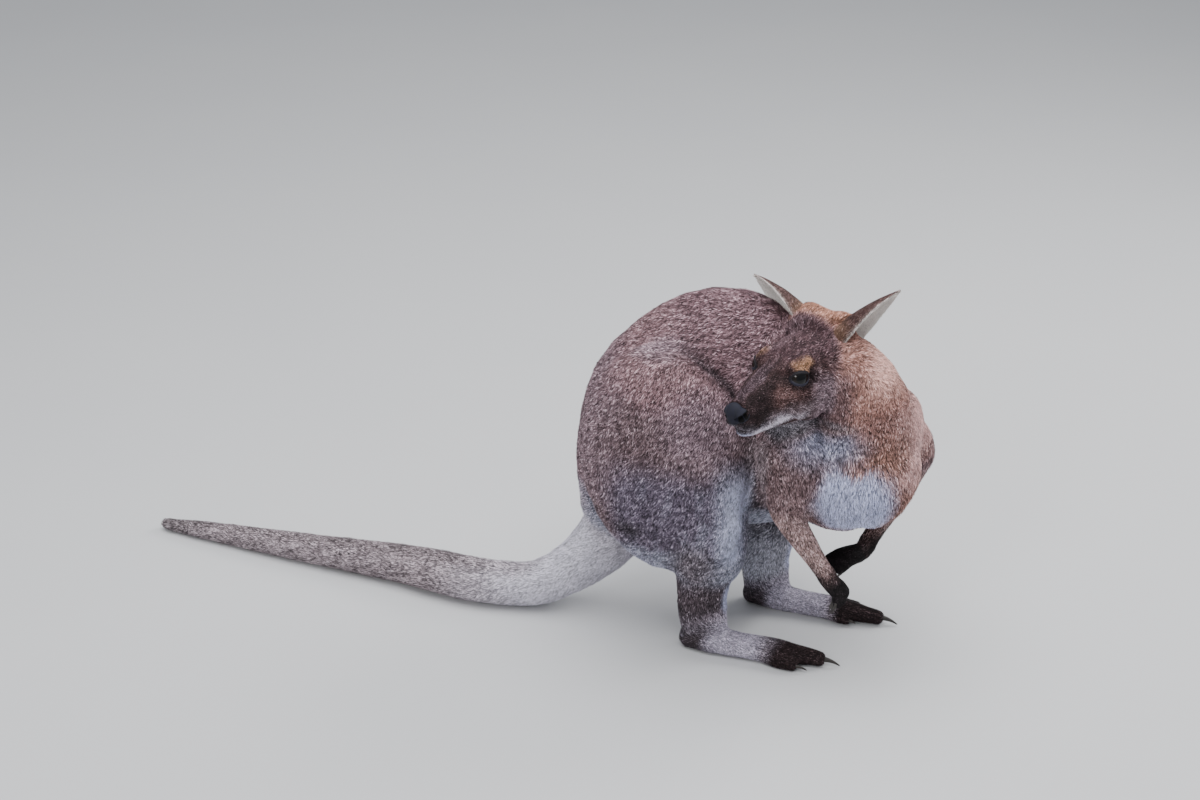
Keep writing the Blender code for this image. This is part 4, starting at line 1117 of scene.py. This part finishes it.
# ---------------------------------------------------------------- the coat
# Short dense guard hair in overlapping tufts over a darker underfur. It lies from nose to nape, down
# the neck and flanks, back along the spine and tail, and down each limb to the toes.
GRIZZLE = 0.80  # spread of light and dark from tuft to tuft
# each tuft's dark root is partly painted shade deep in the coat and partly the hair's dark base; its bright tip is
# the hair's pale band
TUFT_SHADES = (0.22, 0.86, 0.86, 1.75)  # at the root, the two sides of the middle, and the tip
WHITE_SHADES = (0.55, 1.00, 1.00, 1.15)
BRIGHTEST = 0.95  # the most of red, green or blue in any tuft
ROOT_DEPTH = 0.0006
BACK_OVER = 0.330  # the height where the belly's hair ends and the back's begins
BARE_NOSE, BARE_NOSE_SIZE = (-0.0105, 0, -0.0065), (0.0125, 0.0140, 0.0120)
SOLE = 0.0012  # the height under which the feet are bare
EAR_TUFTS, EAR_HAIR_WIDTH, EAR_LIFT = 18000, 0.0007, 0.16
EAR_INSIDE_SHARE = 0.36  # of the ear's tufts
COAT_PIECES = {
    # piece: (parts of the body, tufts, slot)
    "coat_head": (("head",), 86000, "grizzled_fur"),
    "coat_neck": (("neck",), 74000, "rufous_fur"),
    "coat_back": (("trunk",), 92000, "grizzled_fur"),
    "coat_belly": (("trunk",), 88000, "grizzled_fur"),
    "coat_haunch_r": (("thigh_r",), 90000, "grizzled_fur"),
    "coat_haunch_l": (("thigh_l",), 62000, "grizzled_fur"),
    "coat_arms": (("upper_arm", "forearm", "hand"), 70000, "rufous_fur"),
    "coat_legs": (("shank", "foot"), 56000, "pale_fur"),
    "coat_tail": (("tail",), 76000, "pale_fur"),
}
PATCH = 0.003  # width of a tuft's own corner of the UV map
hair = Finish("hair", 0.70, Specular_IOR_Level=0.18)
hair.feed(Base_Color=hair.hair_colour(hair.noise(700.0), (0.25, 0.70), (0.75, 1.20)))


def unit(vectors):
    return vectors / np.maximum(np.linalg.norm(vectors, axis=1), 1e-9)[:, None]


def tufts(name, roots, normals, ways, lengths, lifts, widths, colours, at_uv, grizzle, seed):
    """One piece of coat: a fine blade at each root, broadest halfway and bent over towards the skin."""
    white = ramp(colours.mean(axis=1), 0.35, 0.60)[:, None]  # white hair is plainer than the grizzled
    rng = np.random.default_rng(seed)
    count = len(roots)
    normals = unit(normals)
    ways = unit(ways - normals * (ways * normals).sum(axis=1)[:, None])
    across = np.cross(normals, ways)
    turn = rng.normal(0, 0.22, count) + waves(roots, 0.020, seed) * 0.16
    ways = ways * np.cos(turn)[:, None] + across * np.sin(turn)[:, None]
    across = np.cross(normals, ways)
    long = (lengths * rng.uniform(0.65, 1.15, count) * (1 + 0.12 * waves(roots, 0.016, seed + 1)))[:, None]
    rise = (lifts * rng.uniform(0.55, 1.25, count) * (1 + 0.15 * waves(roots, 0.012, seed + 2)))[:, None]
    wide = (widths * rng.uniform(0.6, 1.3, count))[:, None]
    middle = roots + ways * long * 0.45 + normals * long * rise * 0.80
    tip = roots + ways * long * 0.97 + normals * long * rise * 0.95
    edge = across * wide * 0.50
    places = np.stack([roots - normals * ROOT_DEPTH, middle - edge, middle + edge, tip], axis=1)

    # Light and dark by tuft and by clump, with a frosting of grey on the lightest tips.
    spread = grizzle * (1 - 0.35 * white[:, 0])
    clumps = 0.30 * waves(roots, 0.0045, seed + 3) + 0.08 * waves(roots, 0.013, seed + 4)
    bright = rng.normal(0, 1, count) * spread + clumps * (grizzle / GRIZZLE) * (1 - 0.5 * white[:, 0])
    bright = np.exp(bright - 0.5 * spread**2 - 0.06)
    frost = ramp(bright, 1.4, 2.6)[:, None] * 0.30
    grey = colours.mean(axis=1)[:, None] * (1.05, 1.0, 1.08)
    colours = colours + (grey - colours) * frost
    # root to tip along each tuft: the dark root is partly painted shade deep in the coat
    shades = np.array(TUFT_SHADES) * (1 - white) + np.array(WHITE_SHADES) * white
    tints = colours[:, None, :] * bright[:, None, None] * shades[:, :, None]
    tints *= np.minimum(1, BRIGHTEST / np.maximum(tints.max(axis=2, keepdims=True), 1e-6))

    faces = np.array(((0, 1, 2), (1, 3, 2)))
    corners = np.array(((0.5, 0), (0, 0.5), (1, 0.5), (0.5, 1))) - 0.5
    loops = (faces[None] + 4 * np.arange(count)[:, None, None]).reshape(-1, 3)
    mesh = bpy.data.meshes.new(name)
    mesh.vertices.add(4 * count)
    mesh.vertices.foreach_set("co", places.astype(np.float32).ravel())
    mesh.loops.add(loops.size)
    mesh.loops.foreach_set("vertex_index", loops.ravel().astype(np.int32))
    mesh.polygons.add(len(loops))
    mesh.polygons.foreach_set("loop_start", np.arange(0, loops.size, 3, dtype=np.int32))
    mesh.update(calc_edges=True)
    mesh.polygons.foreach_set("use_smooth", np.ones(len(loops), bool))
    uv = mesh.uv_layers.new(name="OFBake")
    patch = at_uv[:, None, :] + corners[None] * PATCH
    uv.data.foreach_set("uv", patch.reshape(-1, 2)[loops.ravel()].astype(np.float32).ravel())
    piece = placed(name, mesh)
    tinted(piece, tints.reshape(-1, 3))
    mesh.materials.append(hair.material)
    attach(piece, "root")
    return piece


def unwrapped(name, corners, faces):
    """UVs of these triangles on an unwrap of their own, kept inside the unit square."""
    mesh = bpy.data.meshes.new(name)
    used, inverse = np.unique(faces, return_inverse=True)
    mesh.from_pydata(corners[used].tolist(), [], inverse.reshape(-1, 3).tolist())
    patch = placed(name, mesh)
    bpy.ops.object.select_all(action="DESELECT")
    patch.select_set(True)
    bpy.context.view_layer.objects.active = patch
    bpy.ops.object.mode_set(mode="EDIT")
    bpy.ops.mesh.select_all(action="SELECT")
    bpy.ops.uv.smart_project(angle_limit=math.radians(66), island_margin=0.004, scale_to_bounds=False)
    bpy.ops.object.mode_set(mode="OBJECT")
    uv = rows_of(mesh.uv_layers[0].data, "uv", 2)
    bpy.data.objects.remove(patch)
    bpy.data.meshes.remove(mesh)
    return uv.reshape(-1, 3, 2)


def scattered(areas, count, seed):
    """Evenly spread picks of triangles by area, and a random place inside each."""
    rng = np.random.default_rng(seed)
    total = np.cumsum(areas)
    picks = np.searchsorted(total, (np.arange(count) + rng.random(count)) * total[-1] / count)
    a, b = rng.random(count), rng.random(count)
    over = a + b > 1
    a, b = np.where(over, 1 - a, a), np.where(over, 1 - b, b)
    return np.minimum(picks, len(areas) - 1), np.stack([1 - a - b, a, b], axis=1)


skin.data.calc_loop_triangles()
triangles = rows_of(skin.data.loop_triangles, "vertices", 3, int)
corner_a, corner_b, corner_c = (points[triangles[:, k]] for k in range(3))
areas = np.linalg.norm(np.cross(corner_b - corner_a, corner_c - corner_a), axis=1) / 2
middles = (corner_a + corner_b + corner_c) / 3
triangle_part = names[triangles[:, 0]]
head_middles = in_head(middles)
bare = np.zeros(len(triangles), bool)
for side in SIDES:
    past, far = past_lids(head_middles, side)
    above = (head_middles - np.array(EYE[side])) @ eye_frame(side)[1]
    bare |= (past < np.where(above > 0.004, 9, 17)) & (far < 0.020)
bare |= np.linalg.norm((head_middles - BARE_NOSE) / BARE_NOSE_SIZE, axis=1) < 1
bare |= middles[:, 2] < SOLE
share_drawn = 1.0
for seed, (name, (parts, count, slot_name)) in enumerate(COAT_PIECES.items()):
    mine = ~bare & np.any([np.char.startswith(triangle_part, part) for part in parts], axis=0)
    if name == "coat_back":
        mine &= middles[:, 2] > BACK_OVER
    if name == "coat_belly":
        mine &= middles[:, 2] <= BACK_OVER
    chosen = np.flatnonzero(mine)
    dense = areas[chosen] / (length[triangles[chosen, 0]] * width[triangles[chosen, 0]]) ** 0.6
    picks, inside = scattered(dense, int(count * share_drawn), seed)
    corners = triangles[chosen[picks]]

    def at_root(values):
        return (values[corners] * inside[:, :, None]).sum(axis=1)

    roots = at_root(points)
    normals = unit(at_root(skin_normals))
    uv = (unwrapped(name, points, triangles[chosen])[picks] * inside[:, :, None]).sum(axis=1)
    sizes = at_root(np.stack([length, lift, width], axis=1))
    strayed = roots + np.random.default_rng(seed + 60).normal(0, 1, roots.shape) * sizes[:, :1] * 0.22
    colours = markings(strayed, normals, at_root(shares))
    piece = tufts(name, roots, normals, at_root(flow), *sizes.T, colours, uv, GRIZZLE, 100 + seed)

# The ears' down is drawn on their sheets: most of it on the back, longest at the root, a little inside.
for side in SIDES:
    grid, outward, rising = ears[side]
    rng = np.random.default_rng(31)
    count = int(EAR_TUFTS * share_drawn)
    u = rng.random(count) ** 1.35
    v = rng.random(count)
    row = np.minimum((u * EAR_ROWS).astype(int), EAR_ROWS - 1)
    column = np.minimum((v * EAR_COLUMNS).astype(int), EAR_COLUMNS - 1)
    s, t = (u * EAR_ROWS - row)[:, None], (v * EAR_COLUMNS - column)[:, None]

    def on_ear(values):
        low = values[row, column] * (1 - t) + values[row, column + 1] * t
        high = values[row + 1, column] * (1 - t) + values[row + 1, column + 1] * t
        return low * (1 - s) + high * s

    inside = rng.random(count) < EAR_INSIDE_SHARE
    normals = on_ear(outward) * np.where(inside, -1, 1)[:, None]
    edge = np.abs(v * 2 - 1)
    sizes = np.where(u < 0.25, 0.0080 - 0.018 * u, 0.0035) * (1 - 0.5 * edge**4)
    uv = np.stack([np.where(inside, 0.52, 0.02) + v * 0.44, 0.02 + u * 0.96], axis=1)
    piece = tufts(
        f"coat_ear_{side}",
        on_ear(grid) + normals * 0.0008,
        normals,
        unit(on_ear(rising)),
        sizes,
        np.full(count, EAR_LIFT),
        np.full(count, EAR_HAIR_WIDTH),
        ear_colour(u, edge, inside),
        uv,
        np.where(inside, 0.10, 0.60),
        200,
    )


# ---------------------------------------------------------------- floor, light and camera
# A pale studio floor under soft overhead light with a broad fill from the viewer's side.
bpy.ops.mesh.primitive_plane_add(size=12, location=(0, 0, -0.0002))
floor = bpy.context.object
floor.name = "studio_floor"
floor_finish = Finish("floor_paint", 0.9)
cloudy = floor_finish.noise(3.0)
floor_finish.feed(Base_Color=floor_finish.mixed(cloudy, (0.60, 0.60, 0.61, 1), (0.63, 0.63, 0.63, 1)))
floor.data.materials.append(floor_finish.material)


def lamp(name, place, aim, size, power, colour=(1, 1, 1)):
    """A round soft light at a place, turned towards its aim."""
    data = bpy.data.lights.new(name, "AREA")
    data.shape = "DISK"
    data.size = size
    data.energy = power
    data.color = colour
    light = placed(name, data)
    light.location = place
    light.rotation_euler = (Vector(aim) - Vector(place)).to_track_quat("-Z", "Y").to_euler()


lamp("sky", (0.2, -0.3, 2.6), (0.2, 0.0, 0.2), 2.4, 82, (0.97, 0.98, 1.0))
lamp("fill", (-0.7, -2.3, 2.0), (0.35, -0.1, 0.3), 0.9, 20)
lamp("rim", (1.7, 1.1, 1.7), (0.4, 0.0, 0.35), 1.2, 26)
world = bpy.data.worlds.new("studio")
bpy.context.scene.world = world
world.use_nodes = True
background = world.node_tree.nodes["Background"]
background.inputs["Color"].default_value = (0.80, 0.83, 0.88, 1)
background.inputs["Strength"].default_value = 0.62

lens = bpy.data.cameras.new("camera")
lens.lens = 50
lens.sensor_width = 36
camera = placed("camera", lens)
camera.location = (0.4890, -1.7113, 1.3000)
camera.rotation_euler = (math.radians(90 - 29), 0, math.radians(12))
bpy.context.scene.camera = camera
